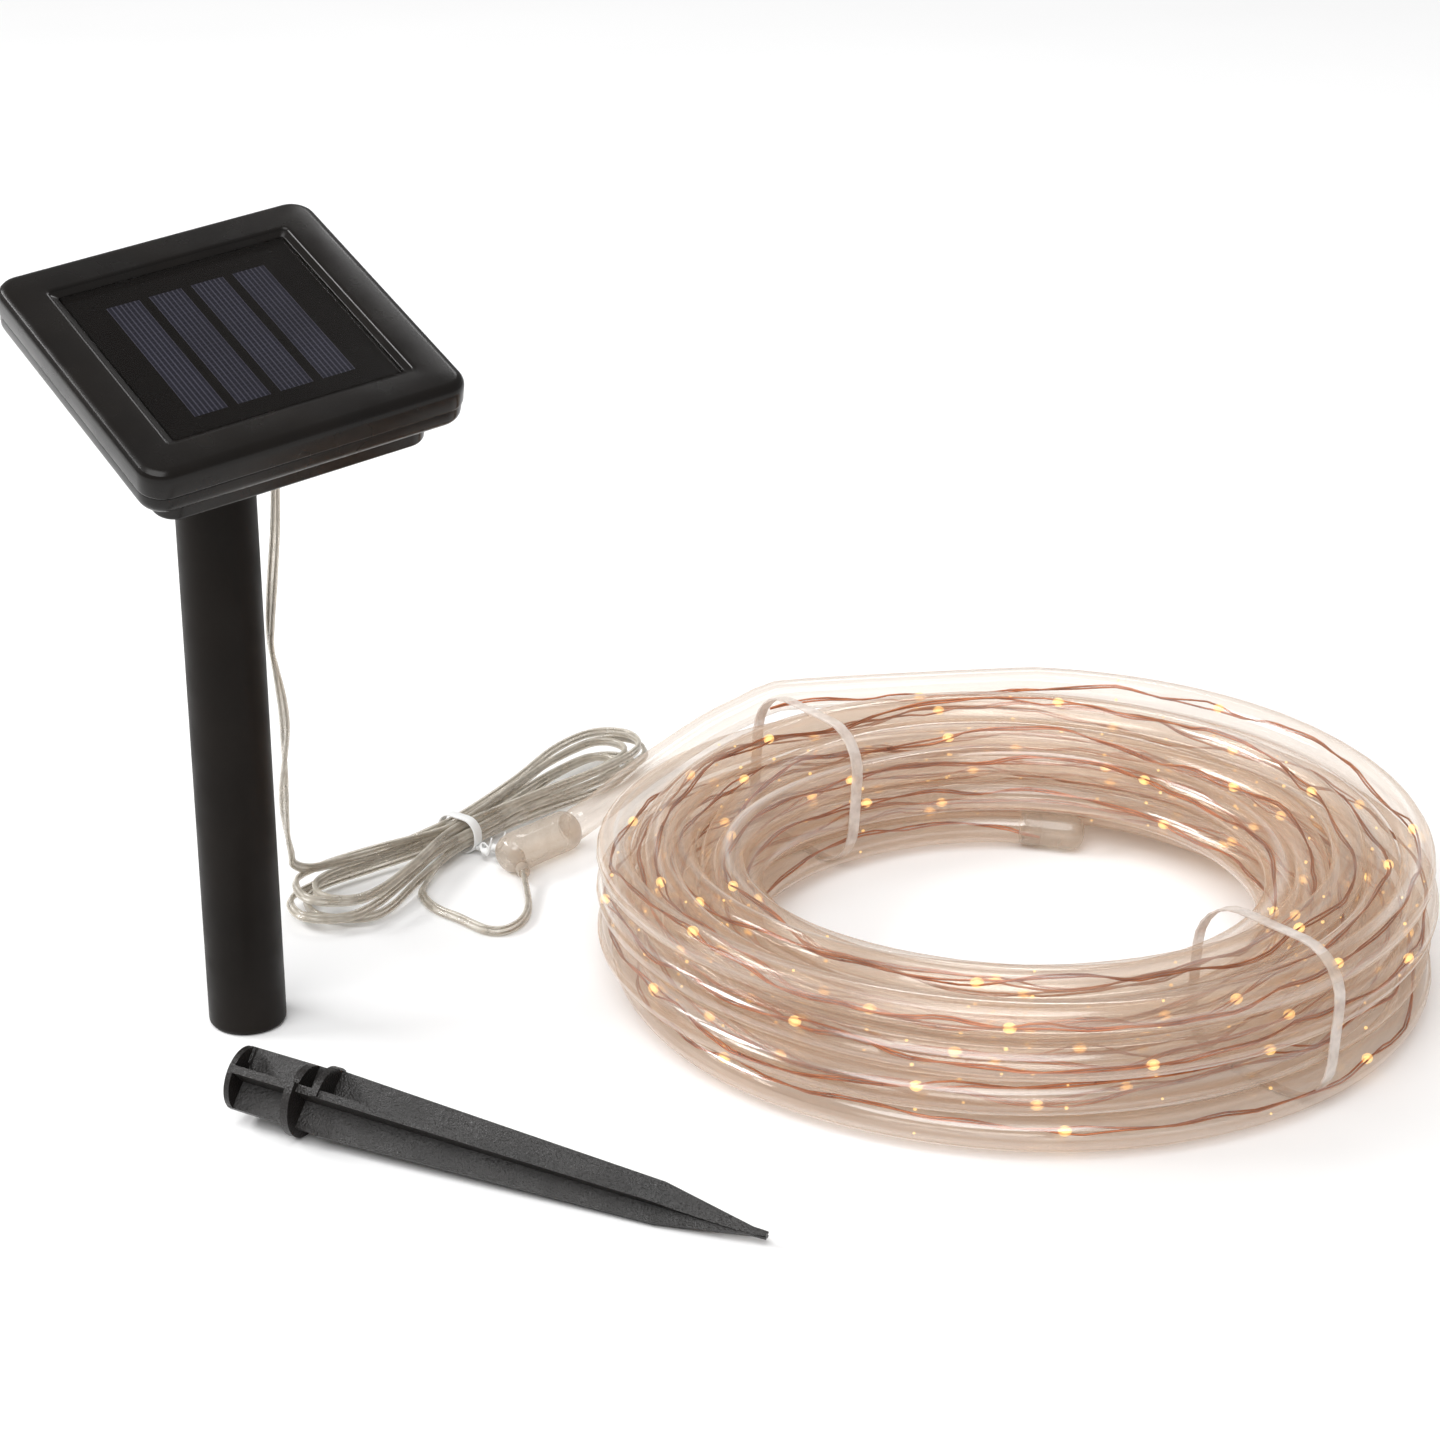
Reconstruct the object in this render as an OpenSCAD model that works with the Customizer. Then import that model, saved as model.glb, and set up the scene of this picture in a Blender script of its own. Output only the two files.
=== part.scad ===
// Solar rope light: a tilting solar head on a tube stem, a separate ground stake,
// a twin lead tied in a hank, and a coil of clear rope with a string of small lights in it.
// Millimetres, +Z up, origin at the centre of the stem's foot on the ground.

/* [Solar head] */
// Side of the square head
head_w = 92.4; // [88:0.2:98]
// Height of the two shells together
shell_h = 13.6; // [13.2:0.2:16]
// Corner radius of the shells, seen from above
head_corner = 7; // [5:1:9]
// Side of the battery box under the shells
box_w = 78; // [70:1:78]
// Height of the battery box
box_h = 8.9; // [7:0.1:10]
// Side of the solar window
window_w = 65.4; // [62:0.2:68]
// Length of a solar cell strip
cell_len = 50; // [40:1:56]
// Width of a solar cell strip
cell_w = 9.3; // [8:0.1:10]
// Distance from one cell strip to the next
cell_pitch = 12.2; // [11:0.1:13]

/* [Hinge] */
// Tilt of the head away from level, in degrees
head_tilt = 21.7; // [0:0.1:45]
// Direction of the hinge axis, in degrees from +X
hinge_yaw = 17.4; // [0:0.1:45]
// Turn of the head on its bracket, in degrees
head_turn = 17.6; // [-45:0.1:45]
// Distance from the hinge axis to the underside of the battery box
hinge_drop = 9; // [9:0.1:12]
// Radius of the hinge lugs
lug_r = 5.2; // [4.8:0.1:5.2]
// Thickness of a hinge lug
lug_t = 7; // [6:0.5:8]

/* [Stem] */
// Length of the tube
stem_len = 163; // [150:1:200]
// Outer radius of the tube
stem_r = 11; // [11:0.5:12]
// Radius of the socket for the stake
socket_r = 8.9; // [8.8:0.05:9]
// Depth of the socket
socket_depth = 26; // [22:1:30]

/* [Stake] */
// Length of the stake with its plug
stake_len = 155; // [140:1:180]
// Radius of the plug
plug_r = 8.8; // [8.6:0.05:8.8]
// Length of the plug
plug_len = 19; // [16:1:20]
// Thickness of the stake's fins
fin_t = 2.2; // [1.8:0.1:2.6]

/* [Rope coil] */
// Diameter of the clear rope
rope_d = 10; // [9:0.5:11]
// Radius of the coil at the middle of its turns
coil_r = 97.8; // [90:0.1:110]
// Width of the bundle of turns
coil_w = 49.2; // [46:0.1:52]
// Height of the bundle of turns
coil_h = 45; // [42:0.5:48]

/* [Lead] */
// Width of the flat twin lead
lead_d = 3; // [2.6:0.1:3.4]

/* [Hidden] */

round_fn = 96;
hull_fn = 32;
hole_fn = 32;

// Heights in the head's own frame, measured from the hinge axis along the head's normal
box_z = hinge_drop;
shell_z = box_z + box_h;
parting_z = shell_z + 5.8;
head_top = shell_z + shell_h;
wall = 2;
floor_z = box_z + wall;
panel_seat_z = head_top - 3;
board_t = 1;
cell_t = 0.3;
window_t = 1.3;
reveal = 0.3;

// Corner screws of the shells
cover_screw_pos = 39.6;
cover_screw_r = 1.25;
cover_head_r = 2.6;
counterbore_r = 2.8;

// Battery bay, towards the head's upper edge
bay_y = 25.5;
bay_len = 56;
lid_w = 57;
lid_d = 17;
lid_t = 1.2;
lid_screw_x = 27.2;
battery_r = 7.1;
battery_len = 50.5;
battery_z = floor_z + battery_r;

// Slide switch, towards the head's lower edge; the knob rests at the ON end
switch_x = 22;
switch_y = -26;
switch_travel = 3;
knob_x = switch_x - switch_travel / 2;

// Hinge bracket: its disc stands beside the hinge so that both lugs lie side by side
bracket_x = 5;
disc_r = 16;
disc_z0 = 5.6;
disc_z1 = box_z - 0.3;
spigot_r = 6;
spigot_hole_r = 6.06;
spigot_top = floor_z + 2.6;
clip_z = floor_z + 0.3;
clip_t = 1.2;
clip_groove_r = 5.5;
gland_x = 16;
gland_end_z = -1.5;
pivot_z = stem_len + 13.5;
pivot_r = 2;
pivot_bore_r = 2.08;
knuckle_bore_r = 2.05;
lug_gap = 0.2;
nut_af = 7;
nut_t = 3;
flange_t = 2.5;
knuckle_plug_len = 14;
upper_bore_r = 8.9;

// Stake lying on the ground: it rests on its flange and on the shoulders of two fins
stake_pos = [6.5, -56.5, 12.2];
stake_yaw = -24.9;
stake_slope = 3.4;
stake_roll = -45;
flange_r = 11;
collar_r = 10;
stake_shoulder = stake_len - 30;

// Coil
coil_pos = [220.9, 40.6];
coil_z = 1;
coil_top = coil_z + coil_h;
tie_t = 1;
tie_w = 4;
tie_1_angle = 127;
tie_2_angle = -50;
string_r = 1.5;
cap_r = 5.5;
cap_len = 20;
cap_angle = 75;
cap_radius = coil_r - (coil_w - rope_d) / 2;

// Hank of the twin lead, tied at its waist
hank_left = [15, 70];
hank_left_r = 14;
hank_waist = [52, 116];
hank_waist_r = 6.5;
hank_right = [99, 180];
hank_right_r = 10.5;
hank_z0 = 0.9;
hank_z1 = 10.5;
hank_yaw = 52;

// Moulded joint between the lead and the rope
joint_tip = [67, 95, 6.6];
joint_yaw = 48;
joint_r = 6.5;
joint_len = 30;
nipple_r = 2.3;
nipple_len = 11.6;
nipple_yaw = -76;

// Route of the lead from the gland down to the hank
lead_upper_route = [
    [15.5, 5, 173], [15.5, 5.5, 166], [15.3, 6, 157], [14.8, 6.5, 149], [14, 7.5, 141], [13, 8.5, 133],
    [12, 10, 125], [11, 12, 117], [10.5, 14, 109], [11, 17, 101], [11.5, 20, 93], [11.5, 24, 85.5],
    [11, 28, 78], [10, 32.5, 71], [9, 37, 64], [8, 41.5, 57.5], [7, 46, 51], [6.2, 50.5, 44.5],
    [5.6, 55, 38], [5.2, 59.5, 32], [5, 64, 26], [5, 68, 20.5], [5, 71.5, 15.5], [5, 74, 12.5]];

// Route of the lead from the hank to the rope joint
lead_lower_route = [
    [43, 84.5, 1.5], [43.5, 78, 1.5], [46, 72, 1.5], [50, 67, 1.5], [55, 63, 1.5], [60, 58, 1.5],
    [65, 54, 1.5], [70, 54, 1.5], [74, 58.5, 1.5], [76, 65, 1.5], [76.3, 72, 1.7], [75.6, 78.5, 2.6],
    [74.6, 84, 3.6], [74, 88, 4.2]];

// Route of the rope from the joint to the outside of the coil
rope_tail_route = [
    [87.1, 117.3, 6.6], [97, 128, 10], [108, 136.5, 16], [120, 142.5, 22.5], [133, 147.5, 29.5],
    [147, 151.5, 35], [158, 153.5, 38]];

// ---------------------------------------------------------------- frames and helpers

module hinge_frame() {
    translate([0, 0, pivot_z]) rotate([0, 0, hinge_yaw]) rotate([head_tilt, 0, 0]) children();
}

module head_frame() {
    hinge_frame() translate([bracket_x, 0, 0]) rotate([0, 0, head_turn]) children();
}

module stem_frame() {
    translate([0, 0, pivot_z]) rotate([0, 0, hinge_yaw]) children();
}

module stake_frame() {
    translate(stake_pos) rotate([0, 0, stake_yaw]) rotate([0, stake_slope, 0]) rotate([stake_roll, 0, 0])
        children();
}

module coil_frame(angle = 0) {
    translate([coil_pos[0], coil_pos[1], 0]) rotate([0, 0, angle]) children();
}

// Points of a quarter circle about c, from angle a0 to a1
function arc(c, r, a0, a1, steps = 6) =
    [for (i = [0 : steps]) let (a = a0 + (a1 - a0) * i / steps) [c[0] + r * cos(a), c[1] + r * sin(a)]];

// Square plate with round corners and rounded upper and lower edges
module rounded_plate(w, h, r, top = 0.01, bottom = 0.01) {
    profile = concat([[0, 0]], arc([r - bottom, bottom], bottom, -90, 0),
                     arc([r - top, h - top], top, 0, 90), [[0, h]]);
    hull()
        for (x = [-1, 1], y = [-1, 1])
            translate([x * (w / 2 - r), y * (w / 2 - r), 0])
                rotate_extrude($fn = hull_fn) polygon(profile);
}

module box(x, y, z, centre = [0, 0], z0 = 0) {
    translate([centre[0] - x / 2, centre[1] - y / 2, z0]) cube([x, y, z]);
}

module disc(r, h, z0 = 0, fn = hole_fn) {
    translate([0, 0, z0]) cylinder(r = r, h = h, $fn = fn);
}

// Cylinder along X from x0 to x1
module rod_x(r, x0, x1, fn = hole_fn) {
    translate([x0, 0, 0]) rotate([0, 90, 0]) cylinder(r = r, h = x1 - x0, $fn = fn);
}

module at_corners(d) {
    for (x = [-d, d], y = [-d, d]) translate([x, y, 0]) children();
}

function unit(v) = v / norm(v);
function heading(route, i) = unit(route[min(i + 1, len(route) - 1)] - route[max(i - 1, 0)]);

// Tube swept along a route, with its first side turned by the reference direction
module swept_tube(route, r, sides, ref) {
    n = len(route);
    rings = [for (i = [0 : n - 1])
        let (t = heading(route, i), a = unit(cross(ref, t)), b = cross(t, a))
            for (j = [0 : sides - 1])
                route[i] + r * (cos(360 * j / sides) * a + sin(360 * j / sides) * b)];
    walls = [for (i = [0 : n - 2], j = [0 : sides - 1])
        let (k = (j + 1) % sides)
            [i * sides + j, (i + 1) * sides + j, (i + 1) * sides + k, i * sides + k]];
    first = [for (j = [0 : sides - 1]) j];
    last = [for (j = [sides - 1 : -1 : 0]) (n - 1) * sides + j];
    polyhedron(points = rings, faces = concat(walls, [first], [last]));
}

// ---------------------------------------------------------------- solar head

module top_cover() {
    color([0.07, 0.065, 0.06]) head_frame() difference() {
        translate([0, 0, parting_z])
            rounded_plate(head_w, head_top - parting_z, head_corner, top = 3, bottom = 0.4);
        difference() {
            translate([0, 0, parting_z - 1]) rounded_plate(head_w - 7, panel_seat_z - parting_z + 1, 4);
            at_corners(cover_screw_pos) disc(3, 10, parting_z - 1);
        }
        // pocket for the cell board, then the window opening and its bevelled frame
        box(window_w + 0.4, window_w + 0.4, 10, z0 = panel_seat_z - 1);
        hull() {
            box(window_w + 0.4, window_w + 0.4, 0.1, z0 = head_top - 1.3);
            box(window_w + 4, window_w + 4, 0.1, z0 = head_top);
        }
        at_corners(cover_screw_pos) disc(cover_screw_r, panel_seat_z - 1 - shell_z, shell_z);
    }
}

module solar_window() {
    color([0.03, 0.03, 0.035]) head_frame()
        box(window_w, window_w, window_t, z0 = panel_seat_z + cell_t);
}

module solar_cells() {
    color([0.05, 0.06, 0.16]) head_frame()
        for (i = [-1.5 : 1 : 1.5]) box(cell_w, cell_len, cell_t, [i * cell_pitch, 0], panel_seat_z);
}

module cell_board() {
    color([0.08, 0.06, 0.05]) head_frame()
        box(window_w + 4, window_w + 4, board_t, z0 = panel_seat_z - board_t);
}

module cover_seal() {
    color([0.05, 0.05, 0.05]) head_frame() difference() {
        box(head_w - 4.9, head_w - 4.9, 1.2, z0 = parting_z - 1.2);
        box(head_w - 7.9, head_w - 7.9, 3, z0 = parting_z - 2);
        at_corners(cover_screw_pos) disc(3.6, 10, parting_z - 5);
    }
}

module bottom_shell_body() {
    translate([0, 0, shell_z])
        rounded_plate(head_w - 2 * reveal, parting_z - shell_z, head_corner, top = 0.4, bottom = 3.5);
    translate([0, 0, box_z]) rounded_plate(box_w, box_h + 3, 6, bottom = 1.4);
}

module bottom_shell_hollow() {
    difference() {
        box(head_w - 8, head_w - 8, 10, z0 = shell_z + wall);
        at_corners(cover_screw_pos) disc(3.2, 20, shell_z);
    }
    difference() {
        box(head_w - 4.8, head_w - 4.8, 3, z0 = parting_z - 1.2);
        at_corners(cover_screw_pos) disc(3.2, 20, shell_z);
    }
    box(box_w - 5, box_w - 5, box_h + 3, z0 = floor_z);
}

module bottom_cover() {
    color([0.075, 0.065, 0.055]) head_frame() difference() {
        union() {
            difference() {
                bottom_shell_body();
                bottom_shell_hollow();
            }
            // walls of the battery bay and posts for the circuit board
            box(60, 1.2, 9, [0, bay_y - 8.6], floor_z - 0.2);
            for (x = [-1, 1]) box(1.2, 17, 9, [x * (bay_len / 2 + 0.6), bay_y], floor_z - 0.2);
            for (x = [-22, 6]) translate([x, -25, 0]) disc(1.8, 3.7, floor_z - 0.2);
        }
        at_corners(cover_screw_pos) {
            disc(counterbore_r, 2, shell_z - 0.2);
            disc(1.5, 10, shell_z);
        }
        disc(spigot_hole_r, 4, box_z - 1, fn = 64);
        // battery opening with a rebate for its lid
        box(lid_w + 0.4, lid_d + 0.4, lid_t + 1, [0, bay_y], box_z - 1);
        box(52, 15, 4, [0, bay_y], box_z - 1);
        for (x = [-1, 1]) translate([x * lid_screw_x, bay_y, 0]) disc(0.9, 4, box_z - 1);
        // finger recess and slot of the slide switch
        hull() for (x = [-4, 4]) translate([switch_x + x, switch_y, 0]) disc(3.2, 1, box_z - 0.2);
        box(7.8, 3, 4, [switch_x, switch_y], box_z - 1);
    }
}

module machine_screw(head_r, head_h, shank_r, length) {
    difference() {
        disc(head_r, head_h);
        for (a = [0, 90]) rotate([0, 0, a]) box(head_r * 1.3, head_r * 0.28, head_h * 0.6, z0 = -0.01);
    }
    disc(shank_r, length, head_h);
}

module cover_screws() {
    color([0.55, 0.55, 0.56]) head_frame() at_corners(cover_screw_pos)
        translate([0, 0, shell_z + 0.2]) machine_screw(cover_head_r, 1.6, cover_screw_r, 7.4);
}

module battery_lid() {
    color([0.075, 0.065, 0.055]) head_frame() difference() {
        union() {
            box(lid_w, lid_d, lid_t, [0, bay_y], box_z);
            for (i = [-2 : 2]) box(0.8, 7, 0.4, [i * 2, bay_y], box_z - 0.4);
        }
        for (x = [-1, 1]) translate([x * lid_screw_x, bay_y, 0]) {
            disc(0.9, 4, box_z - 1);
            disc(1.2, 0.6, box_z);
        }
    }
}

module lid_screws() {
    color([0.55, 0.55, 0.56]) head_frame() for (x = [-1, 1])
        translate([x * lid_screw_x, bay_y, box_z]) machine_screw(1.2, 0.6, 0.9, 1.3);
}

module battery() {
    color([0.2, 0.45, 0.25]) head_frame() translate([0, bay_y, battery_z]) {
        rod_x(battery_r, -battery_len / 2, battery_len / 2 - 1.3, fn = 64);
        rod_x(2.7, battery_len / 2 - 1.3, battery_len / 2);
    }
}

module battery_contacts() {
    color([0.75, 0.75, 0.72]) head_frame() translate([0, bay_y, battery_z]) {
        for (x = [-1, 1]) translate([x * (bay_len / 2 - 0.25), 0, 0]) box(0.5, 10, 8, z0 = -4);
        // spring of the minus end, drawn as its turns, and the dimple of the plus end
        for (i = [0 : 1]) translate([-bay_len / 2 + 0.5 + i * 0.8, 0, 0])
            rotate([0, 90, 0]) rotate_extrude($fn = hull_fn) translate([4 - i, 0.4]) circle(r = 0.4, $fn = 16);
        rod_x(2, battery_len / 2, bay_len / 2 - 0.5);
    }
}

module circuit_board() {
    color([0.1, 0.35, 0.18]) head_frame() box(36, 12, 1.2, [-8, -25], floor_z + 3.5);
}

module circuit_parts() {
    z = floor_z + 4.7;
    color([0.15, 0.15, 0.16]) head_frame() {
        box(5, 4, 1.5, [-2, -25], z);
        box(2, 1.2, 0.6, [2.5, -22], z);
        box(2, 1.2, 0.6, [2.5, -28], z);
        box(3.5, 2.6, 1.2, [6.5, -25], z);
        translate([-12, -25, 0]) disc(3, 4.5, z);
        translate([-20, -25, 0]) disc(2.5, 6, z);
    }
}

module inner_wires() {
    z = floor_z + 5.2;
    color([0.7, 0.1, 0.1]) head_frame() {
        for (x = [-1, 1])
            swept_tube([[x * 31.2, 20, z], [x * 31.2, 5, z - 1], [x * 29, -12, z - 1], [x * 22 - 6, -17, z],
                        [x * 14 - 8, -18.2, z]], 0.6, 8, [0, 0, 1]);
        for (x = [-5, -2])
            swept_tube([[x, -18, z + 8], [x, -17.6, z + 4], [x, -17.8, z + 1]], 0.6, 8, [1, 0, 0]);
    }
}

module switch_body() {
    color([0.6, 0.6, 0.6]) head_frame() difference() {
        box(9, 4.6, 4, [switch_x, switch_y], floor_z + 0.2);
        box(6.4, 1.8, 1.8, [switch_x, switch_y], floor_z + 0.1);
    }
}

module switch_knob() {
    color([0.1, 0.1, 0.1]) head_frame() {
        difference() {
            box(3.8, 2.4, 2.8, [knob_x, switch_y], box_z - 0.8);
            for (i = [-1 : 1]) box(0.4, 3, 0.4, [knob_x + i * 1.1, switch_y], box_z - 0.9);
        }
        box(2, 1.2, 1.4, [knob_x, switch_y], floor_z);
    }
}

// ---------------------------------------------------------------- hinge

module hinge_lug(x0, x1, reach) {
    rod_x(lug_r, x0, x1, fn = 48);
    translate([x0, -lug_r, min(0, reach)]) cube([x1 - x0, 2 * lug_r, abs(reach)]);
}

module tilt_bracket() {
    color([0.07, 0.065, 0.06]) hinge_frame() difference() {
        union() {
            translate([bracket_x, 0, 0]) {
                disc(disc_r, disc_z1 - disc_z0, disc_z0, fn = round_fn);
                disc(spigot_r, spigot_top - disc_z1, disc_z1, fn = 64);
            }
            hinge_lug(lug_gap, lug_gap + lug_t, disc_z0 + 0.2);
        }
        rod_x(pivot_bore_r, -1, lug_t + 1);
        translate([lug_gap + lug_t - nut_t, 0, 0]) rotate([0, 90, 0])
            cylinder(r = nut_af / 2 / cos(30), h = nut_t + 1, $fn = 6);
        translate([bracket_x, 0, 0]) {
            disc(3.5, 10, disc_z0 + 1.4);
            difference() {
                disc(spigot_r + 1, clip_t + 0.1, clip_z - 0.05);
                disc(clip_groove_r, clip_t + 2, clip_z - 1, fn = 64);
            }
        }
        // way of the lead from the hollow spigot to the gland
        box(gland_x - bracket_x, 3.6, 3, [(gland_x + bracket_x) / 2, 0], disc_z1 - 2.2);
        translate([gland_x, 0, 0]) disc(2.4, 6, disc_z0 - 1);
    }
}

module turn_clip() {
    color([0.6, 0.6, 0.62]) hinge_frame() translate([bracket_x, 0, 0]) difference() {
        disc(9, clip_t, clip_z, fn = 64);
        disc(clip_groove_r, clip_t + 2, clip_z - 1, fn = 64);
        box(6, 4, 4, [8, 0], clip_z - 1);
    }
}

module cable_gland() {
    bore_r = lead_d / 2 + 0.2;
    color([0.12, 0.12, 0.12]) hinge_frame() translate([gland_x, 0, 0]) difference() {
        union() {
            translate([0, 0, gland_end_z])
                cylinder(r1 = 2.3, r2 = 3.2, h = disc_z0 - gland_end_z, $fn = hole_fn);
            disc(2.4, 2, disc_z0);
        }
        disc(bore_r, 12, gland_end_z - 1);
    }
}

module pivot_nut() {
    color([0.6, 0.6, 0.62]) hinge_frame() translate([lug_gap + lug_t - nut_t + 0.1, 0, 0]) rotate([0, 90, 0])
        difference() {
            cylinder(r = nut_af / 2 / cos(30) - 0.05, h = nut_t - 0.1, $fn = 6);
            disc(pivot_bore_r, 10, -1);
        }
}

module stem_knuckle() {
    base = -(pivot_z - stem_len - flange_t);
    color([0.07, 0.065, 0.06]) stem_frame() difference() {
        union() {
            hinge_lug(-lug_gap - lug_t, -lug_gap, base - 0.2);
            disc(stem_r, flange_t, base - flange_t, fn = round_fn);
            disc(upper_bore_r, knuckle_plug_len, base - flange_t - knuckle_plug_len, fn = 64);
        }
        rod_x(knuckle_bore_r, -lug_t - 1, 1);
        disc(6.5, knuckle_plug_len, base - flange_t - knuckle_plug_len - 1);
    }
}

module pivot_screw() {
    head_x = -lug_gap - lug_t;
    color([0.6, 0.6, 0.62]) stem_frame() difference() {
        union() {
            rod_x(3.6, head_x - 2.4, head_x, fn = 48);
            rod_x(pivot_r, head_x, lug_t + 1);
        }
        translate([head_x - 2.41, 0, 0]) for (a = [0, 90]) rotate([a, 0, 0])
            translate([0, -2.4, -0.5]) cube([1.4, 4.8, 1]);
    }
}

// ---------------------------------------------------------------- stem and stake

module stem() {
    edge = 1.8;
    web_z = socket_depth;
    color([0.08, 0.07, 0.06]) rotate_extrude($fn = round_fn) polygon(concat(
        [[socket_r, 0]],
        arc([stem_r - edge, edge], edge, -90, 0),
        [[stem_r, stem_len], [upper_bore_r, stem_len], [upper_bore_r, web_z + 2], [4, web_z + 2],
         [4, web_z], [socket_r, web_z]]));
}

// Fin outline: half widths along the stake, mirrored to the other side
function fin_outline(half) =
    concat(half, [for (i = [len(half) - 1 : -1 : 0]) [half[i][0], -half[i][1]]]);

module stake() {
    collar_x = plug_len + 7;
    upright = [[0, plug_r], [collar_x, plug_r], [collar_x + 2, 9.3], [stake_shoulder, 5.6], [stake_len, 0.4]];
    level = [[0, plug_r], [collar_x, plug_r], [collar_x + 2, 9.1], [stake_shoulder, 5.6],
             [stake_shoulder + 5, 3.6], [stake_len, 0.4]];
    color([0.06, 0.055, 0.05]) stake_frame() {
        difference() {
            union() {
                rod_x(plug_r, 0, 1.6, fn = 64);
                rod_x(plug_r, plug_len, plug_len + 2.2, fn = 64);
                difference() {
                    rod_x(flange_r, plug_len, plug_len + 2.2, fn = 64);
                    translate([plug_len - 1, -12, fin_t / 2]) cube([4.2, 24, 12]);
                }
                rod_x(collar_r, collar_x, collar_x + 2, fn = 64);
            }
            // the end disc is cut beside one fin, and the collar fills only one quarter
            translate([-1, -2.9, 4]) cube([3, 1.4, 6]);
            translate([collar_x - 1, -12, -12]) cube([4, 24, 11]);
            translate([collar_x - 1, fin_t / 2, -12]) cube([4, 12, 24]);
        }
        rotate([90, 0, 0]) translate([0, 0, -fin_t / 2]) linear_extrude(height = fin_t)
            polygon(fin_outline(upright));
        translate([0, 0, -fin_t / 2]) linear_extrude(height = fin_t) polygon(fin_outline(level));
    }
}

// ---------------------------------------------------------------- lead

module lead_upper() {
    color([0.8, 0.78, 0.74]) swept_tube(lead_upper_route, lead_d / 2, 8, [1, 0, 0]);
}

module lead_lower() {
    color([0.8, 0.78, 0.74]) swept_tube(lead_lower_route, lead_d / 2, 8, [0, 0, 1]);
}

module lead_hank() {
    color([0.75, 0.72, 0.67]) translate([0, 0, hank_z0]) linear_extrude(height = hank_z1 - hank_z0) {
        hull() {
            translate(hank_left) circle(r = hank_left_r, $fn = 40);
            translate(hank_waist) circle(r = hank_waist_r, $fn = 40);
        }
        hull() {
            translate(hank_waist) circle(r = hank_waist_r, $fn = 40);
            translate(hank_right) circle(r = hank_right_r, $fn = 40);
        }
    }
}

module hank_tie() {
    inner = hank_waist_r + 0.5;
    color([0.93, 0.93, 0.92]) translate([hank_waist[0], hank_waist[1], 0]) rotate([0, 0, hank_yaw]) {
        difference() {
            box(4.5, 2 * inner + 1.8, hank_z1 + 0.9);
            box(6, 2 * inner, hank_z1 - hank_z0, z0 = hank_z0);
        }
        // twisted ends
        translate([0, -inner - 0.9, 2.4]) rotate([90, 0, -25]) cylinder(r = 1.3, h = 6, $fn = 16);
    }
}

module rope_joint() {
    profile = concat([[0, 0]], arc([joint_r - 5, 5], 5, -90, 0),
                     [[joint_r, joint_len - 6], [rope_d / 2 + 0.6, joint_len], [0, joint_len]]);
    color([0.86, 0.74, 0.68]) translate(joint_tip) {
        rotate([0, 0, joint_yaw]) rotate([0, 90, 0]) rotate_extrude($fn = 64) polygon(profile);
        rotate([0, 0, joint_yaw]) translate([6.5, 0, -2.4]) rotate([0, 0, nipple_yaw - joint_yaw])
            rod_x(nipple_r, 0, nipple_len);
    }
}

// ---------------------------------------------------------------- rope

module rope_tail() {
    color([0.9, 0.85, 0.82]) swept_tube(rope_tail_route, rope_d / 2, 12, [0, 0, 1]);
}

// Section of the bundle of turns, seen along the rope
module bundle_section(grow = 0) {
    r = rope_d / 2;
    translate([coil_r, coil_z + coil_h / 2]) hull()
        for (x = [-1, 1], y = [-1, 1])
            translate([x * (coil_w / 2 - r), y * (coil_h / 2 - r)]) circle(r = r + grow, $fn = 40);
}

module rope_coil() {
    r = rope_d / 2;
    x0 = coil_r - coil_w / 2;
    x1 = coil_r + coil_w / 2;
    profile = concat(arc([x1 - r, coil_z + r], r, -90, 0), arc([x1 - r, coil_top - r], r, 0, 90),
                     arc([x0 + r, coil_top - r], r, 90, 180), arc([x0 + r, coil_z + r], r, 180, 270));
    color([0.93, 0.87, 0.83]) difference() {
        coil_frame() rotate_extrude($fn = round_fn) polygon(profile);
        coil_frame() rotate_extrude($fn = round_fn)
            translate([coil_r, coil_z + coil_h / 2]) circle(r = string_r + 0.1, $fn = 24);
        // the end of the rope lies in this corner
        coil_frame(cap_angle) box(2 * cap_r + 8, cap_len + 0.4, 2 * cap_r + 0.2, [cap_radius - 4, 0], coil_z - 0.1);
    }
}

module led_string() {
    color([0.75, 0.42, 0.28]) coil_frame() rotate_extrude($fn = round_fn)
        translate([coil_r, coil_z + coil_h / 2]) circle(r = string_r, $fn = 24);
}

module rope_end_cap() {
    color([0.92, 0.86, 0.82]) coil_frame(cap_angle)
        translate([cap_radius, -cap_len / 2, coil_z + cap_r]) rotate([-90, 0, 0])
            cylinder(r = cap_r, h = cap_len, $fn = 48);
}

module coil_tie(angle) {
    color([0.93, 0.91, 0.89]) coil_frame(angle)
        rotate([90, 0, 0]) linear_extrude(height = tie_w, center = true) difference() {
            bundle_section(tie_t);
            bundle_section(0.08);
        }
}

top_cover();
solar_window();
solar_cells();
cell_board();
cover_seal();
bottom_cover();
cover_screws();
battery_lid();
lid_screws();
battery();
battery_contacts();
circuit_board();
circuit_parts();
inner_wires();
switch_body();
switch_knob();
tilt_bracket();
turn_clip();
cable_gland();
pivot_nut();
stem_knuckle();
pivot_screw();
stem();
stake();
lead_upper();
lead_hank();
hank_tie();
lead_lower();
rope_joint();
rope_tail();
rope_coil();
led_string();
rope_end_cap();
coil_tie(tie_1_angle);  // coil_tie_1
coil_tie(tie_2_angle);  // coil_tie_2
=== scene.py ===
# %% [markdown]
# # A solar rope light set
# The set has three things to model: a solar head on a tube stem, a loose ground stake, and a clear
# rope with small lights inside it, wound into a coil. A thin twin lead, tied in a hank, joins the head
# to the rope. The measured parts come from the CAD model, which loads first as a fixed frame. Everything
# made here sits around that frame, in metres, with +Z up and the stem's foot at the origin.

import math

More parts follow.
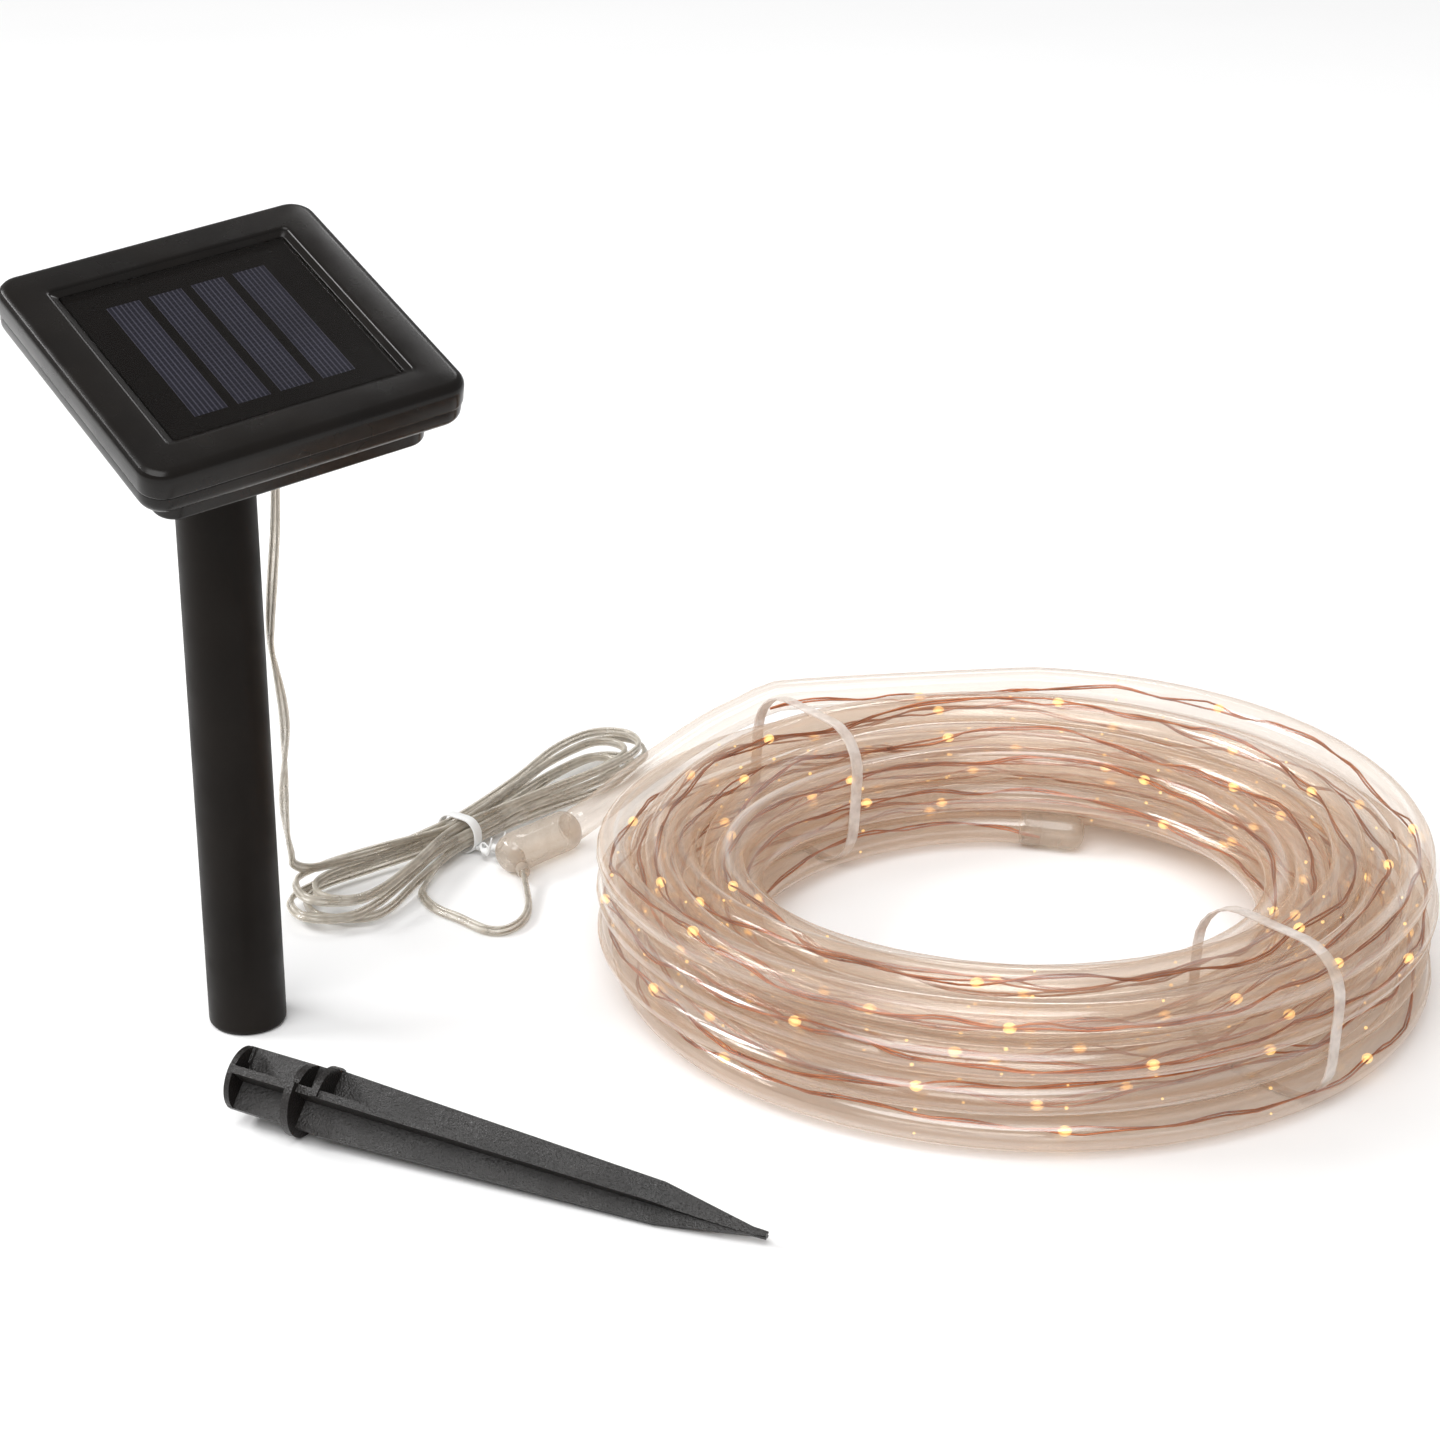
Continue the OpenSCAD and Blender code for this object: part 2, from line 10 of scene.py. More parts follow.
import bmesh
import bpy
from mathutils import Matrix, Vector, kdtree, noise


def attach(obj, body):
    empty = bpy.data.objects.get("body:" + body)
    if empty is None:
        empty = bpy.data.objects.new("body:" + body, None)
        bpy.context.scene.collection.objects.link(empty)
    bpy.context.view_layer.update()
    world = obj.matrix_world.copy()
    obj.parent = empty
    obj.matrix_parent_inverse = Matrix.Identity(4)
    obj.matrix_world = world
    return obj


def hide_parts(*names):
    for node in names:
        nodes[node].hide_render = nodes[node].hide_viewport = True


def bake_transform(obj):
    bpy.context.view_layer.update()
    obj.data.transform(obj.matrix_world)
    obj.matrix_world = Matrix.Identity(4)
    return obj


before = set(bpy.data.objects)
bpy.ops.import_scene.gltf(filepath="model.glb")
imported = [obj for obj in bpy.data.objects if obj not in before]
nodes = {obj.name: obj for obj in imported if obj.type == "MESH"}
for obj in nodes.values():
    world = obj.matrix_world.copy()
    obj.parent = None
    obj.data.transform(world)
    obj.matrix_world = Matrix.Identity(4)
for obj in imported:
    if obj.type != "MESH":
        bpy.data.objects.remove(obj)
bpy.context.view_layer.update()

# %% [markdown]
# ## Camera
# The set is seen from a little above and in front, with a long lens, so that the stem's sides stay
# almost parallel. An 80 mm lens on the usual 36 mm sensor does that. The camera comes first, and the
# same small helper links every later object to the scene.

# %% Place the camera


def linked(name, data):
    """A new object with this data, linked to the scene."""
    piece = bpy.data.objects.new(name, data)
    bpy.context.scene.collection.objects.link(piece)
    return piece


camera_tilt = 67.51
camera_data = bpy.data.cameras.new("camera")
camera_data.lens = 80
camera_data.sensor_width = 36
camera = linked("camera", camera_data)
camera.location = (0.135, -0.8135, 0.4294)
camera.rotation_euler = (math.radians(camera_tilt), 0, 0)
bpy.context.scene.camera = camera
print("camera looks down by", round(90 - camera_tilt, 2), "degrees")

# %% [markdown]
# ## Smooth routes
# A cord is easiest to place by a few points and a smooth curve through them. A Catmull-Rom curve
# passes through every point it is given, which a Bezier curve with free handles doesn't promise.
# After that the points are spaced evenly, so that tubes and lights can be set out by length.

# %% Helpers for routes
MM = 0.001


def smooth_through(points, steps=8):
    """Points of a Catmull-Rom curve through the given points."""
    ends = [points[0] * 2 - points[1]] + list(points) + [points[-1] * 2 - points[-2]]
    found = []
    for p0, p1, p2, p3 in zip(ends, ends[1:], ends[2:], ends[3:]):
        for i in range(steps):
            t = i / steps
            found.append(0.5 * (2 * p1 + (p2 - p0) * t + (2 * p0 - 5 * p1 + 4 * p2 - p3) * t ** 2
                                + (3 * p1 - p0 - 3 * p2 + p3) * t ** 3))
    return found + [points[-1]]


def lengths_along(points):
    """How far along the route each point is."""
    total, found = 0.0, [0.0]
    for a, b in zip(points, points[1:]):
        total += (b - a).length
        found.append(total)
    return found


def spaced(points, step):
    """The same route with its points an even step apart."""
    along = lengths_along(points)
    count = max(2, round(along[-1] / step))
    found, j = [], 0
    for i in range(count + 1):
        s = along[-1] * i / count
        while j < len(points) - 2 and along[j + 1] < s:
            j += 1
        span = max(along[j + 1] - along[j], 1e-9)
        found.append(points[j].lerp(points[j + 1], min(1, (s - along[j]) / span)))
    return found


def in_metres(points):
    """Points typed in millimetres, as vectors in metres."""
    return [Vector(p) * MM for p in points]


# %% [markdown]
# ## The rope's route
# Ten metres of 10 mm rope, the usual length for a hundred lights, make sixteen turns. Hand-wound rope
# packs like stacked logs: each turn sits in the dip between two others, so the bundle's cross-section is
# five staggered columns, and the innermost one is the lowest, which rounds the bundle off towards its
# hole. The route works through that section column by column, and each turn shifts to the next place in
# the stack on the left side of the coil. A slow wander of a millimetre or so keeps the turns from looking
# machined. The last turn sinks to its plug.

# %% Lay the rope into its coil
ROPE_D = 10 * MM
coil_centre = Vector((220.9, 40.6, 0)) * MM
coil_radius = 97.8 * MM
floor_gap = 1 * MM
turn_steps = 60
wander_out, wander_up, lowest = 1.4, 1.7, 4.6
cap_reach, cap_height, cap_yaw = 78.2, 6.5, 75
tail_route = in_metres([
    (87.1, 117.3, 6.6), (97, 128, 10), (108, 136.5, 16), (120, 142.5, 22.5), (133, 147.5, 29.5),
    (147, 151.5, 35), (158, 153.5, 38)])
outer, inner, between = (39.4, 28, 16.6, 5.2), (28, 16.6, 5.2), (10.9, 22.3, 33.7)
stack = [(out, up) for out, column in ((19.6, outer), (10.3, between), (0, outer), (-10.3, between), (-19.6, inner))
         for up in column]
first_angle, last_angle = 100, 82
turns = len(stack) - 1 + (first_angle - last_angle) / 360
end_shift = cap_height - inner[-1]
shift_from, shift_to = 0.62, 0.97


def ease(t):
    """0 before t = 0, 1 after t = 1, and a smooth climb between them."""
    t = min(1, max(0, t))
    return t * t * (3 - 2 * t)


def coil_point(turn):
    """Where the rope's centre is after this many turns."""
    whole = min(int(turn), len(stack) - 1)
    following = min(whole + 1, len(stack) - 1)
    t = ease((turn - whole - shift_from) / (shift_to - shift_from))
    out = stack[whole][0] * (1 - t) + stack[following][0] * t
    up = stack[whole][1] * (1 - t) + stack[following][1] * t
    out += wander_out * noise.noise(Vector((turn * 4.3, 0.5, 0)))
    up += wander_up * noise.noise(Vector((turn * 4.9, 7.5, 0)))
    up += end_shift * ease((turn - turns + 0.35) / 0.33)
    angle = math.radians(first_angle - 360 * turn)
    radius = coil_radius + out * MM
    return coil_centre + Vector((radius * math.cos(angle), radius * math.sin(angle),
                                 floor_gap + max(up, lowest) * MM))


coil_points = [coil_point(turns * i / round(turns * turn_steps)) for i in range(round(turns * turn_steps) + 1)]
cap_angle = math.radians(cap_yaw)
cap_end = coil_centre + Vector((cap_reach * math.cos(cap_angle), cap_reach * math.sin(cap_angle), cap_height)) * MM
joining = smooth_through(tail_route + coil_points[3:6], 6)[:-12]
rope_line = spaced(joining + coil_points[3:] + [coil_points[-1].lerp(cap_end, 0.6)], 6.5 * MM)
rope_length = lengths_along(rope_line)[-1]
print(f"rope: {turns:.2f} turns, {rope_length:.2f} m, {len(rope_line)} points")

# %% [markdown]
# ## Tubes from curves
# A curve with a round bevel is the quickest honest tube: it can be closed at both ends, and Blender
# gives it a UV map that runs along the tube and round it. The same helper makes the clear rope and the
# copper wires in it. The rope becomes a mesh, so that its finish can use that map for the faint lines
# along every tube, which are partly the extrusion's own lines and partly painted highlight streaks.

# %% A tube that follows a route


def tube(name, line, radius, sides):
    """A round tube along the line, as one open curve."""
    data = bpy.data.curves.new(name, "CURVE")
    data.dimensions = "3D"
    data.bevel_depth = radius
    data.bevel_resolution = (sides - 4) // 2
    data.use_fill_caps = True
    data.twist_mode = "Z_UP"
    spline = data.splines.new("POLY")
    spline.points.add(len(line) - 1)
    for point, place in zip(spline.points, line):
        point.co = (*place, 1)
    spline.use_smooth = True
    return linked(name, data)


def as_mesh(carrier):
    """The mesh that a curve object makes, with its caps joined on, in place of the curve."""
    bpy.context.view_layer.update()
    mesh = bpy.data.meshes.new_from_object(carrier.evaluated_get(bpy.context.evaluated_depsgraph_get()))
    name = carrier.name
    bpy.data.objects.remove(carrier)
    bm = bmesh.new()
    bm.from_mesh(mesh)
    bmesh.ops.remove_doubles(bm, verts=bm.verts, dist=0.001 * MM)
    bm.to_mesh(mesh)
    bm.free()
    mesh.name = name
    mesh.shade_smooth()
    return linked(name, mesh)


rope = as_mesh(tube("rope", rope_line, ROPE_D / 2, 16))
print("rope mesh has", len(rope.data.polygons), "faces and the map", rope.data.uv_layers[0].name)

# %% [markdown]
# ## Wires and lights in the rope
# Inside the clear tube lie two enamelled copper wires, loosely kinked, with a light every 100 mm.
# The wires wander across the bore, so they are made from the rope's own line plus a slow sideways
# drift. At each light the two wires part around it. They begin a little way into the rope, past the
# plain piece at the joint.

# %% Set out the wires and the lights
LIGHT_STEP = 0.1
light_count = 100
wires_from = 0.075
wire_radius = 0.3 * MM
furthest = 3.1
together, parted = 0.38, 0.75


def across(line, i):
    """The directions across the line at point i: sideways, and upwards."""
    along = (line[min(i + 1, len(line) - 1)] - line[max(i - 1, 0)]).normalized()
    side = along.cross(Vector((0, 0, 1))).normalized()
    return side, side.cross(along)


def wander(s):
    """How far the wires lie from the rope's centre, sideways and upwards, at length s."""
    sideways = 4.6 * noise.noise(Vector((s * 17, 2.5, 0))) + 1.9 * noise.noise(Vector((s * 58, 9.5, 0)))
    upwards = -0.5 + 5.4 * noise.noise(Vector((s * 21, 4.5, 0))) + 2.0 * noise.noise(Vector((s * 64, 1.5, 0)))
    reach = math.hypot(sideways, upwards)
    share = min(1, furthest / max(reach, 1e-6))
    return sideways * share * MM, upwards * share * MM


wire_lines = [[], []]
light_places = []
fine_line = spaced(rope_line, 5 * MM)
fine_along = lengths_along(fine_line)
next_light = wires_from + LIGHT_STEP / 2
for i, s in enumerate(fine_along):
    side, up = across(fine_line, i)
    sideways, upwards = wander(s)
    middle = fine_line[i] + side * sideways + up * upwards
    to_light = abs((s - wires_from) % LIGHT_STEP - LIGHT_STEP / 2)
    apart = (together + parted * (1 - ease(to_light / 0.012))) * MM
    turn = s * 95 + 2 * noise.noise(Vector((s * 9, 0, 3.5)))
    split = side * math.cos(turn) + up * math.sin(turn)
    if s >= wires_from:
        wire_lines[0].append(middle + split * apart)
        wire_lines[1].append(middle - split * apart)
    if s >= next_light and len(light_places) < light_count:
        light_places.append((i, middle, (fine_line[min(i + 1, len(fine_line) - 1)] - fine_line[i - 1]).normalized()))
        next_light += LIGHT_STEP
wires = [tube(f"copper_wire_{n + 1}", line, wire_radius, 6) for n, line in enumerate(wire_lines)]
print(len(light_places), "lights along the wires")

# %% [markdown]
# Each light is a drop of amber resin over a tiny chip. A hundred copies add up, so each one is only a
# squashed icosphere with a smaller one inside. They are built in one mesh, with the chip's faces given
# the glowing material by index. A lit chip is also seen again in the turns of rope next to it, as a
# short column of glints. Bending light through that many walls is slow, so each glint is a painted
# reflection: a glowing bead in the wall of a neighbouring turn, on the side that faces the chip.

# %% Model the lights


def new_object(name, bm, smooth=True):
    """Turn a bmesh into an object and free the bmesh."""
    data = bpy.data.meshes.new(name)
    bm.to_mesh(data)
    bm.free()
    if smooth:
        data.shade_smooth()
    return linked(name, data)


def glowing_bead(bm, place, facing, radius, stretch, index):
    """Add a squashed icosphere with one of the lights' finishes."""
    made = bmesh.ops.create_icosphere(
        bm, subdivisions=1 if index == 1 else 2, radius=radius * MM,
        matrix=Matrix.Translation(place) @ facing @ Matrix.Diagonal((stretch, 1, 1, 1)))
    for face in {f for v in made["verts"] for f in v.link_faces}:
        face.material_index = index


turn_tree = kdtree.KDTree(len(fine_line))
for i, point in enumerate(fine_line):
    turn_tree.insert(point, i)
turn_tree.balance()
lights_bm = bmesh.new()
glint_count = 0
for n, (i, place, along) in enumerate(light_places):
    facing = along.to_track_quat("X", "Z").to_matrix().to_4x4()
    glowing_bead(lights_bm, place, facing, 1.5, 1.25, 0)
    glowing_bead(lights_bm, place, facing, 0.95, 1.15, 1)
    others = [(abs((point - place).xy.length), j, point) for point, j, away in turn_tree.find_range(place, 16 * MM)
              if abs(j - i) > 20]
    chosen = []
    for sideways, j, point in sorted(others):
        if sideways < 5 * MM and all(abs(j - k) > 20 for k in chosen) and len(chosen) < 1 + n % 3:
            chosen.append(j)
            towards = (place - point).normalized()
            # Each glint is a glowing bead: a painted reflection of the chip in a neighbouring turn.
            for reach, radius in ((3.9, 0.55), (-3.6, 0.4)):
                glowing_bead(lights_bm, point + towards * reach * MM, facing, radius, 1.1, 1)
                glint_count += 1
lights = new_object("string_lights", lights_bm)
print("lights have", len(lights.data.polygons), "faces in all, with", glint_count, "glints")

# %% [markdown]
# ## The twin lead's route
# The lead drops from the gland beside the stem, lies folded into a hank of ten runs and ends at the
# rope's joint. The hank is easiest to think of along its own axis: a is the distance from the tie,
# v is the distance to the left of the axis. Each winding goes out on one side, turns round in a loop,
# comes back on the other side and turns again, and the runs bunch up where the tie holds them.

# %% Fold the hank
hank_waist = Vector((52, 116, 0))
hank_right = Vector((99, 180, 0))
hank_along = (hank_right - hank_waist).normalized()
hank_left_side = Vector((-hank_along.y, hank_along.x, 0))
drop_route = [(15.25, 5.0, 177.2), (15.1, 5.3, 175.1), (15.3, 5.4, 171), (15.5, 5.5, 166), (15.3, 6, 157),
              (14.8, 6.5, 149), (14, 7.5, 141), (13, 8.5, 133), (12, 10, 125), (11, 12, 117), (10.5, 14, 109),
              (11, 17, 101), (11.5, 20, 93), (11.5, 24, 85.5), (11, 28, 78), (10, 32.5, 71), (9, 37, 64),
              (8, 41.5, 57.5), (7, 46, 51), (6.2, 50.5, 44.5), (5.6, 55, 38), (5.2, 59.5, 32), (5, 64, 26),
              (5, 68, 20.5), (5, 71.5, 15.5)]
lower_route = [(43, 84.5, 1.6), (43.5, 78, 1.6), (46, 72, 1.6), (50, 67, 1.6), (55, 63, 1.6), (60, 58, 1.6),
               (65, 54, 1.6), (70, 54, 1.6), (74, 58.5, 1.6), (76, 65, 1.6), (76.3, 72, 1.7), (75.6, 78.5, 2.6),
               (74.6, 84, 3.6), (73.8, 89.5, 4.2)]


def hank_point(a, v, z):
    """A point of the hank from its distance past the tie, its side and its height, in millimetres."""
    place = hank_waist + hank_along * a + hank_left_side * v
    return (place.x, place.y, z)


out_waist = [(4.6, 8.3), (1.2, 9.0), (5.4, 5.4), (1.6, 6.0), (4.0, 2.6)]
back_waist = [(-2.1, 8.8), (-5.0, 7.2), (-1.7, 5.4), (-5.4, 4.3), (-2.4, 2.4)]
right_loops = [(87, 11.4, 10.6), (81, 8.2, 9.0), (90, 12.0, 7.0), (77, 7.4, 4.8), (85, 9.8, 2.4)]
left_loops = [(-70, 13.4, 9.4), (-63, 9.8, 7.2), (-73, 12.4, 4.8), (-66, 13.8, 2.2)]
folds = []
for k, (tip, half, high) in enumerate(right_loops):
    (v_out, z_out), (v_back, z_back) = out_waist[k], back_waist[k]
    if k == 0:
        folds += [hank_point(-56, 12.2, 11), hank_point(-44, 10.2, 9.4), hank_point(-26, 6.4, 8.4)]
    folds += [hank_point(-8, v_out, z_out), hank_point(8, v_out, z_out),
              hank_point(tip * 0.42, half * 0.62, (z_out + high) / 2), hank_point(tip * 0.72, half, high),
              hank_point(tip - half * 0.55, half * 0.86, high), hank_point(tip, 0, high),
              hank_point(tip - half * 0.55, -half * 0.86, high - 0.4),
              hank_point(tip * 0.72, -half, high - 0.6),
              hank_point(tip * 0.42, -half * 0.62, (z_back + high) / 2), hank_point(8, v_back, z_back),
              hank_point(-8, v_back, z_back)]
    if k < len(left_loops):
        tip, half, high = left_loops[k]
        folds += [hank_point(tip * 0.45, -half * 0.66, (z_back + high) / 2), hank_point(tip * 0.74, -half, high),
                  hank_point(tip + half * 0.5, -half * 0.86, high), hank_point(tip, 0, high),
                  hank_point(tip + half * 0.5, half * 0.86, high), hank_point(tip * 0.74, half, high),
                  hank_point(tip * 0.45, half * 0.66, (out_waist[k + 1][1] + high) / 2)]
lead_line = spaced(smooth_through(in_metres(drop_route + folds + lower_route), 6), 2 * MM)
lead_length = lengths_along(lead_line)[-1]
print(f"lead: {lead_length:.2f} m in {len(folds)} hank points")

# %% [markdown]
# ## Flat twin lead
# The lead is two soft clear sheaths side by side, each with a tinned core. Its section is a figure of
# eight, so a curve with a custom bevel profile sweeps it along the route. The tilt turns the flat lead
# as it goes, which is why it looks thin in one place and broad in another. It becomes a mesh in the end.

# %% Sweep the lead
LOBE = 0.72 * MM
LOBE_RADIUS = 0.78 * MM


def profile_of(name, outlines):
    """A flat curve of closed outlines, to sweep along a route."""
    data = bpy.data.curves.new(name, "CURVE")
    data.dimensions = "2D"
    for outline in outlines:
        spline = data.splines.new("POLY")
        spline.points.add(len(outline) - 1)
        for point, (x, y) in zip(spline.points, outline):
            point.co = (x, y, 0, 1)
        spline.use_cyclic_u = True
    return linked(name, data)


def arc_points(centre, radius, start, end, count):
    """Points of an arc about a centre on the X axis, from one angle in degrees to the other."""
    angles = [math.radians(start + (end - start) * i / (count - 1)) for i in range(count)]
    return [(centre + radius * math.cos(t), radius * math.sin(t)) for t in angles]


neck = math.degrees(math.acos(LOBE / LOBE_RADIUS))
sheath_outline = (arc_points(LOBE, LOBE_RADIUS, -180 + neck, 180 - neck, 9)[:-1]
                  + arc_points(-LOBE, LOBE_RADIUS, neck, 360 - neck, 9)[:-1])
sheath_profile = profile_of("sheath_profile", [sheath_outline])
core_profile = profile_of("core_profile", [arc_points(side * LOBE, 0.36 * MM, 0, 300, 6) for side in (-1, 1)])


def swept(name, line, profile, tilts):
    """A mesh swept along the line with a profile, turned by the tilt at each point."""
    data = bpy.data.curves.new(name, "CURVE")
    data.dimensions = "3D"
    data.twist_mode = "MINIMUM"
    data.bevel_mode = "OBJECT"
    data.bevel_object = profile
    data.use_fill_caps = True
    spline = data.splines.new("POLY")
    spline.points.add(len(line) - 1)
    for point, place, tilt in zip(spline.points, line, tilts):
        point.co = (*place, 1)
        point.tilt = tilt
    return as_mesh(linked(name, data))


drop_length = 0.2
lead_tilts = []
for s in lengths_along(lead_line):
    lead_tilts.append(9 * ease(s / drop_length) + 1.3 * noise.noise(Vector((s * 11, 6.5, 0))))
lead = swept("twin_lead", lead_line, sheath_profile, lead_tilts)
lead_cores = swept("lead_cores", lead_line, core_profile, lead_tilts)
for profile in (sheath_profile, core_profile):
    bpy.data.objects.remove(profile)
print("lead mesh has", len(lead.data.polygons), "faces, its cores", len(lead_cores.data.polygons))

# %% [markdown]
# ## Turned pieces
# The rope's joint, its end cap, the lead's nipple and the stem are all round about one axis. A turned
# piece is a half profile spun through a full circle. The spin has to merge its last step with its
# first, and the points on the axis have to become one, or the ends stay open.

# %% A piece turned on its axis


def turned(name, profile, place, steps=48):
    """Spin a profile of (distance along the axis, radius), in millimetres, and put it in place."""
    bm = bmesh.new()
    verts = [bm.verts.new((x * MM, 0, r * MM)) for x, r in profile]
    edges = [bm.edges.new(pair) for pair in zip(verts, verts[1:])]
    bmesh.ops.spin(bm, geom=verts + edges, cent=(0, 0, 0), axis=(1, 0, 0), dvec=(0, 0, 0),
                   angle=math.tau, steps=steps, use_merge=True)
    bmesh.ops.remove_doubles(bm, verts=bm.verts, dist=0.005 * MM)
    bmesh.ops.recalc_face_normals(bm, faces=bm.faces)
    bmesh.ops.transform(bm, matrix=place, verts=bm.verts)
    piece = new_object(name, bm)
    piece.data.set_sharp_from_angle(angle=math.radians(40))
    return piece


def level_frame(x, y, z, yaw):
    """A frame at a point in millimetres, with its X axis level and turned by yaw degrees."""
    return Matrix.Translation(Vector((x, y, z)) * MM) @ Matrix.Rotation(math.radians(yaw), 4, "Z")


joint_profile = [(0, 0), (0.15, 2.2), (0.7, 3.9), (1.8, 5.2), (3.4, 6.0), (5.5, 6.4), (8, 6.5), (16, 6.35),
                 (22, 6.45), (26.5, 6.5), (28, 6.4), (29.2, 6.0), (29.8, 5.5), (30, 5.05), (29.4, 4.6), (29.4, 0)]
joint_place = level_frame(67, 95, 6.6, 48)
joint = turned("rope_joint_moulding", joint_profile, joint_place)
nipple_profile = [(-2, 0), (-2, 2.6), (0, 2.5), (1.2, 2.35), (3.0, 2.25), (3.4, 1.95), (4.2, 1.95), (4.6, 2.2),
                  (6.0, 2.15), (6.4, 1.85), (7.2, 1.85), (7.6, 2.05), (10.6, 1.9), (11.4, 1.75), (11.6, 1.5),
                  (11.6, 0)]
nipple = turned("joint_nipple", nipple_profile, level_frame(71.35, 99.83, 4.2, -76), 32)
cap_profile = [(-10, 4.4), (-10, 5.2), (-9.6, 5.45), (-9, 5.5), (5, 5.5), (7.4, 5.2), (8.9, 4.3), (9.7, 2.8),
               (10, 1.2), (10, 0)]
cap = turned("rope_end_plug", [(-9.4, 0), (-9.4, 4.4)] + cap_profile,
             level_frame(220.9 + cap_reach * math.cos(cap_angle), 40.6 + cap_reach * math.sin(cap_angle), cap_height,
                         cap_yaw - 90))
print("turned", joint.name, nipple.name, cap.name)

# %% [markdown]
# ## Straps
# Two thin clear straps hold the coil, and a white twist tie holds the hank. A strap is an outline with
# round corners, pulled out sideways to its width and then given a thickness. The corners come from
# bevelling the four corners of a square face, before the face is taken away.

# %% Square outlines with round corners


def outline(bm, width, depth, corner, z, segments=8):
    """Add a loop of edges round a rectangle with round corners, level at height z."""
    before = set(bm.verts)
    bmesh.ops.create_circle(bm, cap_ends=True, segments=4, radius=math.sqrt(0.5),
                            matrix=Matrix.Translation((0, 0, z)) @ Matrix.Diagonal((width, depth, 1, 1))
                            @ Matrix.Rotation(math.radians(45), 4, "Z"))
    corners = [v for v in bm.verts if v not in before]
    bmesh.ops.bevel(bm, geom=corners, offset=corner, segments=segments, profile=0.5, affect="VERTICES",
                    clamp_overlap=False, material=-1)
    made = [v for v in bm.verts if v not in before]
    faces = list({f for v in made for f in v.link_faces})
    edges = list({e for v in made for e in v.link_edges})
    bmesh.ops.delete(bm, geom=faces, context="FACES_ONLY")
    return edges


def strap(name, width, height, corner, band, thickness, place):
    """A strap round an outline in its own XY plane, as wide as band along Z, with its wall outside."""
    bm = bmesh.new()
    edges = outline(bm, width * MM, height * MM, corner * MM, -band / 2 * MM, 6)
    pulled = bmesh.ops.extrude_edge_only(bm, edges=edges)["geom"]
    bmesh.ops.translate(bm, vec=(0, 0, band * MM), verts=[v for v in pulled if isinstance(v, bmesh.types.BMVert)])
    bmesh.ops.recalc_face_normals(bm, faces=bm.faces)
    bmesh.ops.solidify(bm, geom=bm.faces, thickness=-thickness * MM)
    bmesh.ops.recalc_face_normals(bm, faces=bm.faces)
    bmesh.ops.bevel(bm, geom=[e for e in bm.edges if e.calc_face_angle(0) > math.radians(60)],
                    offset=thickness * 0.25 * MM, segments=2, profile=0.5, affect="EDGES", material=-1)
    bmesh.ops.transform(bm, matrix=place, verts=bm.verts)
    return new_object(name, bm)


# %% Straps of the coil


def coil_strap(name, angle, lean):
    """A strap round the bundle at this angle of the coil, leaning by a few degrees."""
    upright = Matrix.Rotation(math.radians(90), 4, "X")
    place = (Matrix.Translation(coil_centre + Vector((0, 0, 23.5 * MM)))
             @ Matrix.Rotation(math.radians(angle), 4, "Z") @ Matrix.Translation((coil_radius, 0, 0))
             @ Matrix.Rotation(math.radians(lean), 4, "X") @ upright)
    return strap(name, 49.8, 45.0, 14, 4, 0.7, place)


coil_straps = [coil_strap("coil_strap_1", 127, 4), coil_strap("coil_strap_2", -50, -4)]
print("coil straps", [len(o.data.polygons) for o in coil_straps])

# %% [markdown]
# The twist tie is a short strap pulled tight round the hank's waist. Its two ends are twisted together
# below the bundle and left sticking out. Each end is a strip of grid, twisted step by step about its
# own length, then given a thickness.

# %% Twist tie of the hank


def twisted_end(bm, length, width, turns_made, place):
    """Add a thin strip that twists about its length, in its own XY plane, along X."""
    before = set(bm.verts)
    bmesh.ops.create_grid(bm, x_segments=18, y_segments=2, size=0.5)
    strip = [v for v in bm.verts if v not in before]
    bmesh.ops.scale(bm, vec=(length * MM, width * MM, 1), verts=strip)
    bmesh.ops.translate(bm, vec=(length / 2 * MM, 0, 0), verts=strip)
    for v in strip:
        share = v.co.x / (length * MM)
        bmesh.ops.rotate(bm, verts=[v], cent=(v.co.x, 0, 0),
                         matrix=Matrix.Rotation(math.tau * turns_made * min(share, 0.6), 3, "X"))
        v.co.z += (3.2 * max(0, share - 0.6) ** 2) * length * MM
    bmesh.ops.transform(bm, matrix=place, verts=strip)


waist_frame = (Matrix.Translation(hank_waist * MM + Vector((0, 0, 5.9 * MM)))
               @ Matrix.Rotation(math.atan2(hank_along.y, hank_along.x), 4, "Z"))
cross_section = Matrix(((0, 0, 1, 0), (1, 0, 0, 0), (0, 1, 0, 0), (0, 0, 0, 1)))
hank_tie = strap("hank_twist_tie", 14.6, 10.6, 4.6, 3.4, 0.6, waist_frame @ cross_section)
ends_bm = bmesh.new()
knot = waist_frame @ Matrix.Translation(Vector((0, -7.4, -2.6)) * MM)
for yaw in (-112, -74):
    twisted_end(ends_bm, 10, 2.6, 1.2, knot @ Matrix.Rotation(math.radians(yaw), 4, "Z"))
bmesh.ops.solidify(ends_bm, geom=ends_bm.faces, thickness=0.5 * MM)
bmesh.ops.recalc_face_normals(ends_bm, faces=ends_bm.faces)
tie_ends = new_object("twist_tie_ends", ends_bm)

# %% [markdown]
# ## The head's frame
# The solar head tilts on the stem and is turned a little on its bracket, so nothing on it is level. It is
# modelled flat, in the head's own frame, and each finished mesh is moved into place at the end.

# %% The head's place
PIVOT = Vector((0, 0, 176.5)) * MM
hinge_place = (Matrix.Translation(PIVOT) @ Matrix.Rotation(math.radians(17.4), 4, "Z")
               @ Matrix.Rotation(math.radians(21.7), 4, "X"))
head_place = (hinge_place @ Matrix.Translation(Vector((5, 0, 0)) * MM)
              @ Matrix.Rotation(math.radians(17.6), 4, "Z"))
print("head normal", [round(x, 4) for x in head_place.to_3x3() @ Vector((0, 0, 1))])

# %% [markdown]
# ## The upper shell
# The upper shell is a square tray turned over: soft outer corners, a generous round along the top edge,
# a flat rim, and a bevelled frame that drops to the solar window. Bridging a stack of outlines gives
# full control of every one of those steps, which insetting a box would not.

